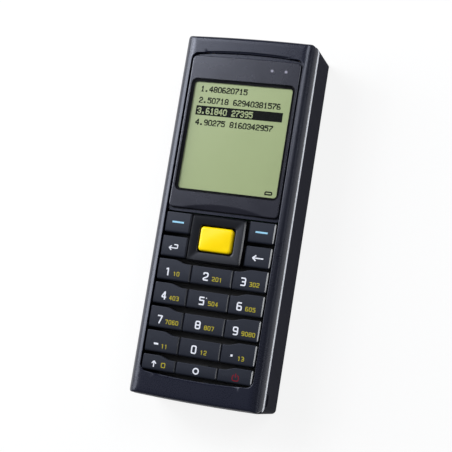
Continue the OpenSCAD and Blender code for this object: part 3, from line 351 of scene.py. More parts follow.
# %% [markdown]
# ## Display and lens
#
# One sheet of clear plastic covers the display, and a dark border is printed behind it with a window
# and two small holes for the status lights. In the CAD the sheet and the print are two nodes. The
# lens could be glass, but glass over a dark print makes the render slow and noisy, so the lens is
# nearly clear over the window and dark elsewhere, with its gloss all over. The window is a rounded
# rectangle: how far a point lies outside it is a sum of squares, as in a drawing of a round corner.

# %% Display and lens
moulded("lcd_glass", (164, 178, 128), 0.3, depth=0.3e-6, cloudy=0.03)
panel_low, panel_high = box("lcd_panel")
panel_border = 1.0
window_half = panel_high.x - panel_border
window_half_l = (panel_high.y - panel_low.y) / 2 - panel_border
window_y = (panel_high.y + panel_low.y) / 2
window_r = 1.2
light_x, light_y, light_r = (10.7, 16.25), 58.45, 0.55
shader, place = new_material("lens", Specular_Tint=satin_tint, Specular_IOR_Level=0.62)
over_x = abs(place.axis("X")) - (window_half - window_r) * MM
over_y = abs(place.axis("Y") - window_y * MM) - (window_half_l - window_r) * MM
outside = (over_x.at_least(0) ** 2 + over_y.at_least(0) ** 2) ** 0.5 - window_r * MM
border = outside.step(0.95 * MM, 1.3 * MM)
lights = 0
for x in light_x:
    away = ((place.axis("X") - x * MM) ** 2 + (place.axis("Y") - light_y * MM) ** 2) ** 0.5
    lights = lights + (1 - away.step((light_r - 0.3) * MM, (light_r + 0.2) * MM))
cloud = place.noise(120, 3.0)
ink = cloud.blend(colour(27, 27, 35), colour(32, 32, 41))
wire(shader, Base_Color=lights.blend(ink, colour(150, 148, 162)), Alpha=0.05 + border * 0.95,
     Roughness=0.24 + cloud * 0.06)
print("window in mm:", round(2 * window_half, 2), "by", round(2 * window_half_l, 2))

# %% [markdown]
# ## Tools for modelling
#
# A moulding could be a box with many bevels and cuts, but the real ones have bowed ends, waving edges
# and scoops that run out to nothing. So they are drawn from outlines instead, as a boat is: a circle
# is extruded from one outline to the next, and its points are set on each by a rule. The rule keeps
# round corners and bowed ends true, which pulling vertices about by eye wouldn't.

# %% Outlines
def spaced(start, end, steps):
    """Values between two ends, without the ends."""
    return [start + (end - start) * i / steps for i in range(1, steps)]


def quarter(x, y, radius, start, steps=6):
    """Points of a quarter turn round (x, y), from an angle in degrees."""
    angles = [math.radians(start + 90 * i / steps) for i in range(steps + 1)]
    return [Vector((x + radius * math.cos(a), y + radius * math.sin(a), 0)) for a in angles]


def bow(x, half, rise):
    """Height of a shallow bow over a half width."""
    return rise * (1 - (x / half) ** 2)


def smooth_rise(value, low, high):
    """Rises smoothly from 0 at low to 1 at high."""
    t = min(1, max(0, (value - low) / (high - low)))
    return t * t * (3 - 2 * t)


def outline(x0, x1, y0, y1, radius, bows=(0, 0), steps=(20, 24), upper=None):
    """Outline with round corners, anticlockwise. Its ends bow, or its upper edge follows a rule."""
    middle, half = (x0 + x1) / 2, (x1 - x0) / 2
    flat = half - radius
    rule = upper or (lambda x: y1 + bow(x - middle, half, bows[1]))
    low = y0 - bow(flat, half, bows[0]) + radius
    right_y, left_y = rule(middle + flat) - radius, rule(middle - flat) - radius
    points = [Vector((x1, y, 0)) for y in spaced(low, right_y, steps[0])]
    points += quarter(middle + flat, right_y, radius, 0)
    points += [Vector((middle + x, rule(middle + x), 0)) for x in spaced(flat, -flat, steps[1])]
    points += quarter(middle - flat, left_y, radius, 90)
    points += [Vector((x0, y, 0)) for y in spaced(left_y, low, steps[0])]
    points += quarter(middle - flat, low, radius, 180)
    points += [Vector((middle + x, y0 - bow(x, half, bows[0]), 0))
               for x in spaced(-flat, flat, steps[1])]
    return points + quarter(middle + flat, low, radius, 270)


def level(points, z):
    """The same outline at height z."""
    return [Vector((p.x, p.y, z)) for p in points]


def between(a, b, share, z):
    """An outline part of the way from one to another, at height z."""
    return [Vector(((1 - share) * p.x + share * q.x, (1 - share) * p.y + share * q.y, z))
            for p, q in zip(a, b)]


def quarter_turn(angles):
    """For each angle in degrees, how far a round edge of radius 1 lies in and down."""
    return [(1 - math.cos(math.radians(angle)), 1 - math.sin(math.radians(angle))) for angle in angles]


print("points in an outline:", len(outline(-1, 1, -1, 1, 0.1)))


# %% Lofting
def deselect():
    for piece in bpy.context.selected_objects:
        piece.select_set(False)


def extrude_loop(piece, loop):
    """Extrudes the selected loop in place, and gives the new vertices in the old order."""
    order = {tuple(v.co): i for i, v in enumerate(loop)}
    bpy.ops.mesh.extrude_region_move()
    fresh = [None] * len(loop)
    for v in bmesh.from_edit_mesh(piece.data).verts:
        if v.select:
            fresh[order[tuple(v.co)]] = v
    return fresh


def loft(name, rings, joined=False):
    """A solid drawn through rings of points in millimetres, capped, or joined end to end."""
    deselect()
    count = len(rings[0])
    bpy.ops.mesh.primitive_circle_add(vertices=count)
    piece = bpy.context.object
    piece.name = name
    bpy.ops.object.mode_set(mode="EDIT")
    loop = list(bmesh.from_edit_mesh(piece.data).verts)
    for number, ring in enumerate(rings):
        if number:
            loop = extrude_loop(piece, loop)
        for v, point in zip(loop, ring):
            v.co = point * MM
    if not joined:
        bpy.ops.mesh.edge_face_add()
        bpy.ops.mesh.select_all(action="DESELECT")
    mesh = bmesh.from_edit_mesh(piece.data)
    mesh.verts.ensure_lookup_table()
    for v in mesh.verts[:count]:
        v.select_set(True)
    mesh.select_flush(True)
    bmesh.update_edit_mesh(piece.data)
    if joined:
        bpy.ops.mesh.bridge_edge_loops()
    else:
        bpy.ops.mesh.edge_face_add()
    bpy.ops.mesh.select_all(action="SELECT")
    bpy.ops.mesh.normals_make_consistent(inside=False)
    bpy.ops.object.mode_set(mode="OBJECT")
    return piece


def fit(piece, body, slot, *stands_for, finish=None):
    """Shades a finished piece, and gives it its finish, its body and the nodes it stands for."""
    deselect()
    piece.select_set(True)
    bpy.context.view_layer.objects.active = piece
    bpy.ops.object.shade_smooth_by_angle(angle=math.radians(35))
    piece.data.materials.clear()
    piece.data.materials.append(materials[finish or slot])
    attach(piece, body)
    if stands_for:
        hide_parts(*stands_for)
    print(piece.name, "faces:", len(piece.data.polygons))
    return piece


# %% [markdown]
# ## Front housing
#
# The bezel is one moulding: its long edges roll over a large radius, its ends over a small one, and
# a shallow scoop runs into each end of the recess. A subdivided box would need its creases tuned by
# hand, and would still miss the scoops. Here each ring of the loft lies at one share of the way from
# the recess to the outside, and a rule for the height of the surface lifts it.

# %% Outlines of the front housing
seam_z = 22.0
front_half, _, front_top = box("front_housing")[1]
front_end, end_bow, front_corner = 70.2, 0.5, 2.3
recess_half, recess_low, recess_high = 22.45, -61.4, 63.35
recess_bow, recess_corner = 1.0, 2.8
plate_low, housing_wall = 24.2, 2.1
inner_half, inner_end = front_half - housing_wall, front_end - housing_wall
fine_steps = (48, 64)
recess_line = outline(-recess_half, recess_half, recess_low, recess_high, recess_corner,
                      (recess_bow, recess_bow), fine_steps)
case_line = outline(-front_half, front_half, -front_end, front_end, front_corner,
                    (end_bow, end_bow), fine_steps)
hollow_line = outline(-inner_half, inner_half, -inner_end, inner_end, 0.6, (end_bow, end_bow), fine_steps)
print("the recess is", 2 * recess_half, "mm wide and", round(recess_high - recess_low, 2), "mm long")

# %% Height of the front
roll_r, roll_x, roll_z = 5.2, 21.25, 21.5
end_roll = 1.4
scoop_half, scoop_l, scoop_depth = 17.0, 0.7, 0.5
scoop_step = 0.15
scoop_fade = 2.5
lip_r = 0.3


def front_surface(point, edge_gap):
    """Height of the front at a point, edge_gap inside the outside of the case."""
    over = max(0, abs(point.x) - roll_x)
    side = roll_z + math.sqrt(max(0.25, roll_r ** 2 - over ** 2))
    dip = max(0, end_roll - edge_gap)
    end = front_top - end_roll + math.sqrt(end_roll ** 2 - dip ** 2)
    return min(side, end, front_top)


def scoop_reach(inner):
    """Length and strength of the scoop at a point of the recess."""
    if min(abs(inner.y - recess_low), abs(inner.y - recess_high)) > 1.2:
        return lip_r, 0
    rim = recess_bow - bow(inner.x, recess_half, recess_bow)
    full = rim + bow(min(scoop_half, abs(inner.x)), scoop_half, scoop_l)
    share = smooth_rise(scoop_half + 1.5 - abs(inner.x), 0, 3.5)
    strength = smooth_rise(scoop_half + 0.5 - abs(inner.x), 0, scoop_fade)
    return lip_r + (max(full, lip_r) - lip_r) * share, strength


# %% Front housing
least_scoop, scoop_end = 0.12, 0.1
lip_turn = [math.radians(angle) for angle in (0, 22, 45, 68, 90)]
roll_gaps = [end_roll * (1 - math.cos(math.radians(a))) for a in (90, 78, 66, 54, 42, 30, 20, 10, 0)]


def front_column(inner, outer):
    """Points of the front from the recess to the outside: lip, scoop, flat and roll."""
    along = (outer - inner).normalized()
    width = (outer - inner).length
    reach, strength = scoop_reach(inner)
    reach = max(reach, lip_r + least_scoop)
    drops = [(lip_r + (reach - lip_r) * share, strength * (scoop_depth + (scoop_step - scoop_depth) * share))
             for share in (0.0, 0.06, 0.3, 0.6, 0.94, 1.0)]
    drops.append((reach + scoop_end, 0))
    drops += [(gap, 0) for gap in spaced(reach + scoop_end, width - end_roll, 4)]
    lip_z = front_surface(inner + along * lip_r, width - lip_r) - drops[0][1]
    column = []
    for angle in lip_turn:
        point = inner + along * (lip_r * (1 - math.cos(angle)))
        column.append(Vector((point.x, point.y, lip_z - lip_r * (1 - math.sin(angle)))))
    for gap, drop in drops:
        point = inner + along * gap
        column.append(Vector((point.x, point.y, front_surface(point, width - gap) - drop)))
    for gap in roll_gaps:
        point = outer - along * gap
        column.append(Vector((point.x, point.y, max(seam_z + 0.02, front_surface(point, gap)))))
    return column + [Vector((outer.x, outer.y, seam_z))]


columns = [front_column(inner, outer) for inner, outer in zip(recess_line, case_line)]
rings = list(zip(*columns)) + [level(hollow_line, seam_z), level(hollow_line, plate_low)]
fit(loft("front_bezel", rings, joined=True), "case", "front_plastic", "front_housing")

# %% [markdown]
# ## Lens seat
#
# The lens lies on a ledge inside the recess, which shows as a dark gap round its edge. The ledge is
# part of the front housing, but its outline isn't the recess's, so it is a plain frame of its own.

# %% Lens seat
seat_top = box("lens_mask")[0].z
seat_low_y, seat_corner, panel_gap = 0.7, 1.5, 0.1
seat_half = panel_high.x + panel_gap
seat_out = outline(-recess_half, recess_half, seat_low_y, recess_high, seat_corner, (0, recess_bow), (24, 32))
seat_in = outline(-seat_half, seat_half, panel_low.y - panel_gap, panel_high.y + panel_gap, seat_corner,
                  (0, 0), (24, 32))
seat = loft("lens_seat", [level(seat_out, plate_low), level(seat_out, seat_top),
                          level(seat_in, seat_top), level(seat_in, plate_low)], joined=True)
fit(seat, "case", "front_plastic")

# %% [markdown]
# ## Keycaps
#
# Each cap is a low pillow: crisp along its upper edge, bevelled at its sides and rolled over softly
# along its lower edge, where it sags a little. The caps of the outer columns have an upper edge that
# dips towards the middle, so the rows look like waves. The caps differ in width and edge, so they
# aren't copies of one: each is drawn by the same loft as the case, from its own CAD box.

# %% Keycaps
key_top, key_base = 26.7, 24.3
cap_foot, cap_skirt = 0.3, key_base + 0.8
wave_drop, wave_out, wave_in = 1.2, 15.5, 10.5
side_bevel, lower_roll, upper_edge = 0.5, 0.7, 0.2
cap_sag = 0.3
cap_corner = 0.6


def wave(x, y):
    """Upper edge of a number key at x."""
    return y - wave_drop * smooth_rise(wave_out - abs(x), 0, wave_out - wave_in)


def cap_surface(x, y, cap):
    """Height of a keycap's top."""
    x0, x1, y0, upper = cap
    y1 = upper(x)
    lower = max(0, lower_roll - (y - y0))
    crisp = max(0, upper_edge - (y1 - y))
    side = min(x - x0, x1 - x)
    height = key_top - cap_sag * max(0, 1 - (y - y0) / (0.6 * (y1 - y0))) ** 2
    height -= lower_roll - math.sqrt(max(0, lower_roll ** 2 - lower ** 2))
    height -= upper_edge - math.sqrt(max(0, upper_edge ** 2 - crisp ** 2))
    return height - max(0, side_bevel - side)


def cap_line(cap, inset):
    """Outline of a cap, drawn in by inset."""
    x0, x1, y0, upper = cap
    corner = max(0.05, cap_corner - inset)
    return outline(x0 + inset, x1 - inset, y0 + inset, 0, corner, (0, 0), (12, 20), lambda x: upper(x) - inset)


def keycap(name, waved):
    """A keycap in the place of a CAD node. Its upper edge may wave, except in the middle column."""
    low, high = box(name)
    outer_column = abs(low.x + high.x) >= 1
    upper = (lambda x: wave(x, high.y)) if waved and outer_column else (lambda x: high.y)
    cap = (low.x, high.x, low.y, upper)
    rings = [level(cap_line(cap, cap_foot), key_base), level(cap_line(cap, 0), key_base + cap_foot)]
    for inset in (0, 0.05, 0.12, 0.2, 0.3, 0.4, 0.5, 0.65, 0.85, 1.1, 1.4, 1.8, 2.3):
        if 2 * inset > high.y - low.y - 0.3:
            break
        rings.append([Vector((p.x, p.y, max(cap_skirt, cap_surface(p.x, p.y, cap))))
                      for p in cap_line(cap, inset)])
    fit(loft(name.replace("key", "cap") + "_shell", rings), name, "key_plastic", name)
    return cap


digit_keys = ["key_1", "key_2", "key_3", "key_4", "key_5", "key_6", "key_7", "key_8", "key_9",
              "minus_key", "key_0", "point_key"]
last_keys = ["function_key", "backlight_key", "power_key"]
upper_keys = ["soft_key_left", "soft_key_right", "escape_key", "backspace_key"]
caps = {name: keycap(name, True) for name in digit_keys + last_keys}
caps.update({name: keycap(name, False) for name in upper_keys})

# %% [markdown]
# ## Scan key and navigation ring
#
# The yellow scan key stands highest, with a round edge and a shallow dome. The ring round it is one
# key that tilts four ways: a dished plate with a bevel at its outside, which catches the light. Both
# are lofts again, the ring one that is joined end to end, because a hole goes through it.

# %% Scan key
scan_low, scan_high = box("scan_key")
scan_x, scan_y = -0.4, (scan_low.y + scan_high.y) / 2
scan_gap, scan_corner = 0.15, 1.3
scan_half, scan_half_l = 6.5, (scan_high.y - scan_low.y) / 2 - scan_gap
scan_base, scan_foot = 24.6, 0.3
scan_edge, scan_dome = 0.9, 0.35


def round_scan(half, half_l, radius, steps, x, bows=(0, 0)):
    """Outline with its middle at x and level with the scan key."""
    return outline(x - half, x + half, scan_y - half_l, scan_y + half_l, radius, bows, steps)


def scan_line(inset):
    """Outline of the scan key, drawn in by inset."""
    corner = max(0.1, scan_corner - inset * 0.5)
    return round_scan(scan_half - inset, scan_half_l - inset, corner, (12, 16), scan_x)


def scan_surface(point):
    """Height of the domed top inside its rounded edge."""
    across = min(1, abs(point.x - scan_x) / (scan_half - scan_edge)) ** 2
    along = min(1, abs(point.y - scan_y) / (scan_half_l - scan_edge)) ** 2
    return scan_high.z - scan_dome * (1 - (1 - across) * (1 - along))


rings = [level(scan_line(scan_foot), scan_base), level(scan_line(0), scan_base + scan_foot)]
for inset, down in quarter_turn((0, 15, 30, 45, 60, 75, 90)):
    rings.append(level(scan_line(scan_edge * inset), scan_high.z - scan_dome - scan_edge * down))
for inset in (1.1, 1.4, 1.8, 2.3, 2.9, 3.6, 4.3):
    rings.append([Vector((p.x, p.y, scan_surface(p))) for p in scan_line(inset)])
fit(loft("scan_cap", rings), "scan_key", "scan_yellow", "scan_key")

# %% Navigation ring
ring_x, ring_half, ring_half_l = -0.25, 10.7, 8.95
ring_base, crest_z = 23.65, box("navigation_ring")[1].z + 0.4
ring_bow, ring_edge, ring_dish = 0.15, 0.5, 0.3
hole_half, hole_half_l, hole_r = 7.1, 5.25, 1.3


def ring_line(half, half_l, radius, side_bow):
    """Outline round the scan key whose four sides bow outwards."""
    flat, flat_l = half - side_bow, half_l - side_bow
    line = round_scan(flat, flat_l, radius, (24, 32), ring_x, (side_bow, side_bow))
    for p in line:
        share = max(0, 1 - ((p.y - scan_y) / flat_l) ** 2)
        p.x += math.copysign(side_bow * share, p.x) * smooth_rise(abs(p.x - ring_x), half * 0.7, flat)
    return line


outer_line = ring_line(ring_half, ring_half_l, 0.7, ring_bow)
crest_line = ring_line(ring_half - ring_edge, ring_half_l - ring_edge, 0.6, ring_bow)
hole_line = ring_line(hole_half, hole_half_l, hole_r, 0)
rings = [level(outer_line, ring_base), level(outer_line, crest_z - ring_edge), level(crest_line, crest_z)]
for share in (0.1, 0.25, 0.4, 0.55, 0.7, 0.85, 0.95):
    rings.append(between(crest_line, hole_line, share, crest_z - ring_dish * share ** 1.5))
rings += [between(crest_line, hole_line, 0.985, crest_z - ring_dish - 0.05),
          level(hole_line, crest_z - ring_dish - 0.2), level(hole_line, ring_base)]
fit(loft("ring_shell", rings, joined=True), "navigation_ring", "ring_plastic", "navigation_ring")

# %% [markdown]
# ## Lens
#
# The lens is a flat sheet with a small round edge all round, and its lower edge is scooped out over
# the navigation ring, to let the thumb in. The scoop is only a drop in height near that edge, so it
# is a rule on the rings of the loft, and no second piece is cut out.

# %% Lens
lens_low, lens_high = box("display_lens")
lens_bow, lens_lift, lens_foot = 0.2, -0.05, 0.4
lens_r, lens_bevel = 1.6, 0.35
lens_scoop_half, lens_scoop_l, lens_scoop_depth = 16.5, 2.4, 0.66


def lens_line(inset):
    """Outline of the lens, drawn in by inset."""
    upper_y = lens_high.y + lens_lift - lens_bow
    return outline(lens_low.x + inset, lens_high.x - inset, lens_low.y + lens_foot + inset, upper_y - inset,
                   max(0.1, lens_r - inset), (0, lens_bow), (24, 48))


def lens_surface(point):
    """Height of the lens, with the scoop at its lower edge."""
    reach = max(0.01, bow(min(abs(point.x), lens_scoop_half), lens_scoop_half, lens_scoop_l))
    inside = 1 - (point.y - lens_low.y - lens_foot) / reach
    return lens_high.z - lens_scoop_depth * min(1, max(0, inside)) * smooth_rise(reach, 0, 1.2)


rings = [level(lens_line(0), lens_low.z), level(lens_line(0), lens_high.z - 1.0)]
for inset, down in quarter_turn((0, 22, 45, 68, 90)):
    rings.append([Vector((p.x, p.y, lens_surface(p) - lens_bevel * down))
                  for p in lens_line(lens_bevel * inset)])
for inset in (0.5, 0.7, 0.95, 1.2, 1.5, 1.8, 2.1, 2.4, 2.6, 3.2):
    rings.append([Vector((p.x, p.y, lens_surface(p))) for p in lens_line(inset)])
fit(loft("lens_shell", rings), "case", "lens", "display_lens")

# %% [markdown]
# ## Strokes and digits
#
# Legends are printed on the caps in thin ink. A text object with a font would look different from
# these square digits with round corners, so they are drawn: a glyph is a few strokes, and a stroke is
# a flat ribbon that the loft draws along a path. Each digit is drawn once, one unit high, and copied.
# Its points are then laid on the curved top of the key, and its path has short steps to follow it.

# %% Strokes
def rounded(path, radius, steps=4):
    """A path of (x, y) points with its corners rounded."""
    points = [Vector(p) for p in path]
    smooth = [points[0]]
    for before, corner, after in zip(points, points[1:], points[2:]):
        reach = min(radius, (before - corner).length / 2.01, (after - corner).length / 2.01)
        start = corner + (before - corner).normalized() * reach
        end = corner + (after - corner).normalized() * reach
        for t in (i / steps for i in range(steps + 1)):
            smooth.append(start * (1 - t) ** 2 + corner * 2 * t * (1 - t) + end * t ** 2)
    return smooth + [points[-1]]


def stepped(points, most=0.12):
    """The same path with steps short enough to follow a curved surface."""
    path = points[:1]
    for point in points[1:]:
        steps = math.ceil((point - path[-1]).length / most)
        last = path[-1]
        path += [last.lerp(point, i / steps) for i in range(1, steps + 1)]
    return path


def stroke(path, width, radius=0.16):
    """A ribbon along a path, 2 units thick. A path that ends where it starts is a closed one."""
    closed = path[0] == path[-1]
    points = stepped(rounded(path, radius))
    if closed:
        points = points[:-1]
    rings = []
    for i, point in enumerate(points):
        last = points[i - 1] if i or closed else None
        after = points[(i + 1) % len(points)] if i + 1 < len(points) or closed else None
        into = (point - last).normalized() if last else (after - point).normalized()
        out = (after - point).normalized() if after else into
        middle = (into + out).normalized()
        side = Vector((-middle.y, middle.x)) * width / 2 / max(0.5, middle.dot(into))
        corners = ((point + side, 1), (point - side, 1), (point - side, -1), (point + side, -1))
        rings.append([Vector((*corner, z)) / MM for corner, z in corners])
    return loft("stroke", rings, closed)


def join(name, parts):
    """Joins pieces into one, which takes the name."""
    deselect()
    for part in parts:
        part.select_set(True)
    bpy.context.view_layer.objects.active = parts[0]
    if len(parts) > 1:
        bpy.ops.object.join()
    parts[0].name = name
    return parts[0]


def glyph(name, paths, width=0.16, radius=0.16):
    """Strokes joined into one drawing, one unit high."""
    return join(name, [stroke(path, width, radius) for path in paths])


left_x, right_x, mid_x, low_y, mid_y, high_y = 0.08, 0.66, 0.37, 0.08, 0.5, 0.92
digit_paths = {
    "0": [[(left_x, mid_y), (left_x, high_y), (right_x, high_y), (right_x, low_y), (left_x, low_y),
           (left_x, mid_y)]],
    "1": [[(0.14, 0.74), (mid_x + 0.04, high_y), (mid_x + 0.04, 0)]],
    "2": [[(left_x, 0.7), (left_x, high_y), (right_x, high_y), (right_x, 0.52), (left_x, 0.26), (left_x, low_y),
           (0.74, low_y)]],
    "3": [[(0.03, high_y), (right_x, high_y), (right_x, low_y), (0.03, low_y)],
          [(0.2, mid_y), (right_x, mid_y)]],
    "4": [[(0.52, 0), (0.52, 0.98), (left_x, 0.3), (0.74, 0.3)]],
    "5": [[(0.7, high_y), (left_x, high_y), (left_x, 0.56), (right_x, 0.56), (right_x, low_y),
           (0.02, low_y)]],
    "6": [[(0.66, high_y), (left_x, high_y), (left_x, low_y), (right_x, low_y), (right_x, 0.54),
           (left_x, 0.54)]],
    "7": [[(0.02, high_y), (right_x, high_y), (0.3, 0)]],
    "8": [[(left_x, mid_y), (left_x, high_y), (right_x, high_y), (right_x, low_y), (left_x, low_y),
           (left_x, mid_y)], [(left_x, mid_y), (right_x, mid_y)]],
    "9": [[(left_x, low_y), (right_x, low_y), (right_x, high_y), (left_x, high_y), (left_x, 0.46),
           (right_x, 0.46)]],
}
digit_narrow = 0.88
soft_corner, sharp_corner = 0.16, 0.05
glyphs = {}
for digit, paths in digit_paths.items():
    narrow = [[(x * digit_narrow, y) for x, y in path] for path in paths]
    glyphs[digit] = glyph("digit_" + digit, narrow, radius=sharp_corner if digit in "57" else soft_corner)
print("digits drawn:", len(glyphs))


# %% Inks
for finish, tint in (("white_ink", (226, 228, 236)), ("yellow_ink", (172, 160, 48)),
                     ("blue_ink", (150, 200, 226)), ("red_ink", (118, 28, 40)), ("display_ink", (6, 9, 4))):
    moulded(finish, tint, 0.5, depth=0.5e-6, cloudy=0.05, Specular_IOR_Level=0.05)
print("finishes:", len(materials))

# %% Printed digits
ink_rise, ink_sink = 0.012, 0.05
advance = 0.82


def print_on(key, name, text, x, y, height, finish, slot, shapes=glyphs):
    """Prints a row of glyphs on a key, from x on and with its middle at y."""
    copies = []
    for place, letter in enumerate(text):
        piece = bpy.data.objects.new(name, shapes[letter].data.copy())
        bpy.context.scene.collection.objects.link(piece)
        for v in piece.data.vertices:
            spot = Vector((x + (v.co.x + place * advance) * height, y + (v.co.y - 0.5) * height))
            over = ink_rise if v.co.z > 0 else -ink_sink
            v.co = Vector((*spot, cap_surface(*spot, caps[key]) + over)) * MM
        copies.append(piece)
    return fit(join(name, copies), key, slot, finish=finish)


digit_h, small_h, small_drop = 3.2, 1.7, 0.6
digit_x = (-17.4, -2.1, 12.8)
small_x = (-15.3, 0.4, 15.1)
row_y = (-23.1, -32.4, -41.6, -50.9)
digit_texts = (*"123456789", "", "0", "")
small_texts = ("10", "201", "302", "403", "504", "605", "7060", "807", "9080", "11", "12", "13")
for place, (key, digit, small) in enumerate(zip(digit_keys, digit_texts, small_texts)):
    row, column = divmod(place, 3)
    y = row_y[row]
    if digit:
        x = digit_x[column] - mid_x * digit_h
        print_on(key, "print_" + key, digit, x, y, digit_h, "white_ink", "white_plastic")
    print_on(key, "small_print_" + key, small, small_x[column], y - small_drop, small_h,
             "yellow_ink", "scan_yellow")

# %% [markdown]
# ## Signs on the other keys
#
# Arrows, dashes, the ring for the backlight and the power sign are drawn with the same strokes. A
# table says which sign goes on which key, where, how high and in which ink, so that a sign can be
# moved by one number.

# %% Signs on the other keys
ring_turn = [math.radians(15 * i) for i in range(24)]
ring_path = [(0.5 + 0.39 * math.cos(a), 0.5 + 0.39 * math.sin(a)) for a in ring_turn]
signs = {
    "dash": glyph("sign_dash", [[(0, 0.5), (1, 0.5)]], 0.14),
    "minus": glyph("sign_minus", [[(0, 0.5), (0.55, 0.5)]], 0.22),
    "dot": glyph("sign_dot", [[(0.0, 0.5), (0.24, 0.5)]], 0.24),
    "arrow": glyph("sign_arrow", [[(0.1, 0.5), (1.5, 0.5)], [(0.5, 0.86), (0.06, 0.5), (0.5, 0.14)]],
                   0.17, 0.01),
    "return": glyph("sign_return", [[(0.1, 0.36), (1.35, 0.36), (1.35, 0.86), (0.8, 0.86)],
                                    [(0.42, 0.68), (0.06, 0.36), (0.42, 0.04)]], 0.15, 0.06),
    "shift": glyph("sign_shift", [[(0.4, 0.02), (0.4, 0.9)], [(0.06, 0.56), (0.4, 0.94), (0.74, 0.56)]],
                   0.16, 0.02),
    "mark": glyph("sign_mark", [[(0.1, 0.5), (0.1, 0.9), (0.8, 0.9), (0.8, 0.1), (0.1, 0.1), (0.1, 0.5)]],
                  0.15, 0.1),
    "ring": glyph("sign_ring", [ring_path + ring_path[:1]], 0.2),
    "power": glyph("sign_power", [[(0.3, 0.8), (0.08, 0.62), (0.08, 0.08), (0.92, 0.08), (0.92, 0.62),
                                   (0.7, 0.8)], [(0.5, 0.5), (0.5, 1.0)]], 0.13, 0.4),
}
white, yellow = ("white_ink", "white_plastic"), ("yellow_ink", "scan_yellow")
blue, red = ("blue_ink", "light_pipe"), ("red_ink", "red_led")
for key, name, mark, x, y, height, ink in (
        ("soft_key_left", "print_soft_left", "dash", -19.05, -3.9, 4.7, blue),
        ("soft_key_right", "print_soft_right", "dash", 14.35, -3.9, 4.7, blue),
        ("escape_key", "print_escape", "return", -18.8, -13.6, 2.6, white),
        ("backspace_key", "print_backspace", "arrow", 14.6, -13.7, 2.9, white),
        ("minus_key", "print_minus", "minus", -18.3, -50.9, 3.2, white),
        ("point_key", "print_point", "dot", 12.3, -50.8, 3.2, white),
        ("key_5", "print_centre_dot", "dot", -0.7, -31.2, 1.6, white),
        ("function_key", "print_function", "shift", -18.0, -58.5, 2.5, white),
        ("function_key", "print_function_mark", "mark", -14.1, -58.6, 2.0, yellow),
        ("backlight_key", "print_backlight", "ring", -1.4, -58.7, 2.6, white),
        ("power_key", "print_power", "power", 14.0, -58.6, 2.9, red)):
    print_on(key, name, [mark], x, y, height, *ink, signs)
for piece in (*glyphs.values(), *signs.values()):
    bpy.data.objects.remove(piece)

# %% [markdown]
# ## Display
#
# The display is a dot matrix, so its digits are steps and not curves. A grid is laid over each line of
# text, with four faces for each dot, and the faces that stay clear are deleted. A dark dot also takes
# the faces beside and below it, as ink on a cheap panel runs wide. One line is inverted: there the
# faces of the digits go, and the rest makes a bar.

# %% Dot matrix
letter_pitch, letter_dots, letter_rows = 1.75, 6, 7
dot_w, dot_l = letter_pitch / letter_dots, 0.34
ink_z = box("lcd_panel")[1].z + 0.01
ink_t = 0.02
dot_digits = {
    "0": "01110 10001 10001 10001 10001 10001 01110", "1": "00100 01100 00100 00100 00100 00100 01110",
    "2": "01110 10001 00001 00110 01000 10000 11111", "3": "01110 10001 00001 00110 00001 10001 01110",
    "4": "00010 00110 01010 10010 11111 00010 00010", "5": "11111 10000 11110 00001 00001 10001 01110",
    "6": "01110 10000 10000 11110 10001 10001 01110", "7": "11111 00001 00010 00100 01000 01000 01000",
    "8": "01110 10001 10001 01110 10001 10001 01110", "9": "01110 10001 10001 01111 00001 00001 01110",
    ".": "00000 00000 00000 00000 00000 01100 01100", " ": "00000 00000 00000 00000 00000 00000 00000",
}


def dot_is_on(text, column, row):
    """Whether a dot of a line of text is dark."""
    place, across = divmod(column, letter_dots)
    if not (0 <= place < len(text) and 0 <= row < letter_rows and across < letter_dots - 1):
        return False
    return dot_digits[text[place]].split()[row][across] == "1"


def face_is_on(text, column, row):
    """Whether a quarter of a dot is dark. A dot runs on into the quarters beside and below it."""
    return any(dot_is_on(text, (column - i) // 2, (row - j) // 2) for i in (0, 1) for j in (0, 1))


def dot_line(name, text, x, top, margin=(0, 0, 0), inverted=False):
    """A line of digits from x and its top, with margins in dots at its left, right, and both edges."""
    columns = 2 * (len(text) * letter_dots + margin[0] + margin[1])
    rows = 2 * (letter_rows + 2 * margin[2])
    deselect()
    bpy.ops.mesh.primitive_grid_add(x_subdivisions=columns, y_subdivisions=rows, size=2)
    piece = bpy.context.object
    piece.name = name
    bpy.ops.object.mode_set(mode="EDIT")
    bpy.ops.mesh.select_mode(type="FACE")
    bpy.ops.mesh.select_all(action="DESELECT")
    mesh = bmesh.from_edit_mesh(piece.data)
    for face in mesh.faces:
        middle = face.calc_center_median()
        column = int((middle.x + 1) / 2 * columns)
        row = int((1 - middle.y) / 2 * rows)
        face.select_set(face_is_on(text, column - 2 * margin[0], row - 2 * margin[2]) == inverted)
    bmesh.update_edit_mesh(piece.data)
    bpy.ops.mesh.delete(type="FACE")
    for v in bmesh.from_edit_mesh(piece.data).verts:
        v.co = Vector((x + ((v.co.x + 1) / 2 * columns / 2 - margin[0]) * dot_w,
                       top - ((1 - v.co.y) / 2 * rows / 2 - margin[2]) * dot_l, ink_z)) * MM
    bpy.ops.mesh.select_all(action="SELECT")
    bpy.ops.mesh.extrude_region_move(TRANSFORM_OT_translate={"value": (0, 0, ink_t * MM)})
    bpy.ops.mesh.select_all(action="SELECT")
    bpy.ops.mesh.normals_make_consistent(inside=False)
    bpy.ops.mesh.select_mode(type="VERT")
    bpy.ops.object.mode_set(mode="OBJECT")
    return fit(piece, "case", "mask_print", finish="display_ink")


line_x = -17.2
line_tops = (50.8, 46.3, 42.15, 37.5)
line_texts = ("1.480620715", "2.50718 62940381576", "3.61840 27395", "4.90275 8160342957")
chosen_line, bar_margin = 2, (2, 40, 2)
for number, (top, text) in enumerate(zip(line_tops, line_texts)):
    chosen = number == chosen_line
    dot_line("display_line_" + str(number + 1), text, line_x, top, bar_margin if chosen else (0, 0, 0), chosen)

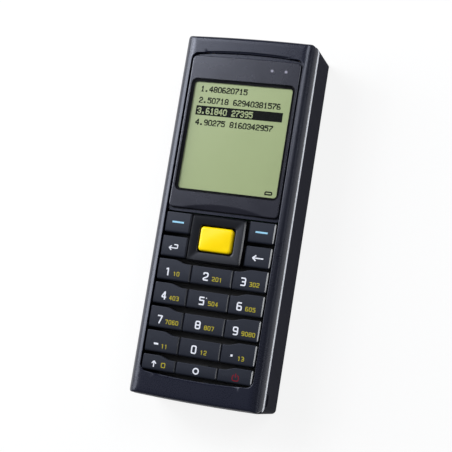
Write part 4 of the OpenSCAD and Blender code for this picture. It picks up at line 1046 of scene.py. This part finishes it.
# %% [markdown]
# ## Charge sign
#
# A small rounded box in the lower corner of the display shows the charge. It isn't made of dots but
# etched as one shape, so it is a closed stroke, flattened onto the panel.

# %% Charge sign
sign_x, sign_y = (15.1, 17.7), (10.9, 11.9)
sign_path = [(sign_x[0], sign_y[0]), (sign_x[1], sign_y[0]), (sign_x[1], sign_y[1]), (sign_x[0], sign_y[1])]
sign = stroke(sign_path + sign_path[:1], 0.5, 0.45)
sign.name = "display_charge_sign"
for v in sign.data.vertices:
    v.co = Vector((v.co.x, v.co.y, ink_z + (ink_t if v.co.z > 0 else 0))) * MM
fit(sign, "case", "mask_print", finish="display_ink")

# %% [markdown]
# ## Finish of the other pieces
#
# The screws, springs, board and windows keep their CAD shape, which is already the real one. The
# record says which finish each node has, so a loop dresses them all and none is forgotten.

# %% Finish of the CAD nodes
for row in frame["record"]["subparts"]:
    node = nodes[row["node"]]
    node.data.materials.clear()
    node.data.materials.append(materials[row["material_slot"]])

# %% [markdown]
# ## Floor
#
# The terminal lies on white paper that runs on behind it. Paper lit by these lamps would look grey,
# and more light would bleach the object, so for the camera and for mirrored rays the paper glows
# nearly white. The rest of it is still lit, so the object keeps its shadow.

# %% Floor
bpy.ops.mesh.primitive_plane_add(size=4)
floor = bpy.context.object
floor.name = "floor"
shader, place = new_material("floor_paper", Roughness=0.8, Specular_IOR_Level=0.1)
paper = place.noise(400)
wire(shader, Base_Color=paper.blend(colour(244, 244, 243), colour(250, 250, 249)))
ray = place.node("ShaderNodeLightPath", output="Is Camera Ray")
ray = ray + place.node("ShaderNodeLightPath", output="Is Glossy Ray")
ray = ray + place.node("ShaderNodeLightPath", output="Is Transmission Ray")
glow_share = 0.86
glow = place.node("ShaderNodeEmission", (), {"Color": (1, 1, 1, 1), "Strength": 1.0})
lit = Shade(place.tree, shader.outputs[0])
mixed = place.node("ShaderNodeMixShader", (), {0: ray.at_most(1) * glow_share, 1: lit, 2: glow})
place.tree.links.new(mixed.socket, place.tree.nodes["Material Output"].inputs["Surface"])
floor.data.materials.append(materials["floor_paper"])
print("the floor glows by", glow_share)
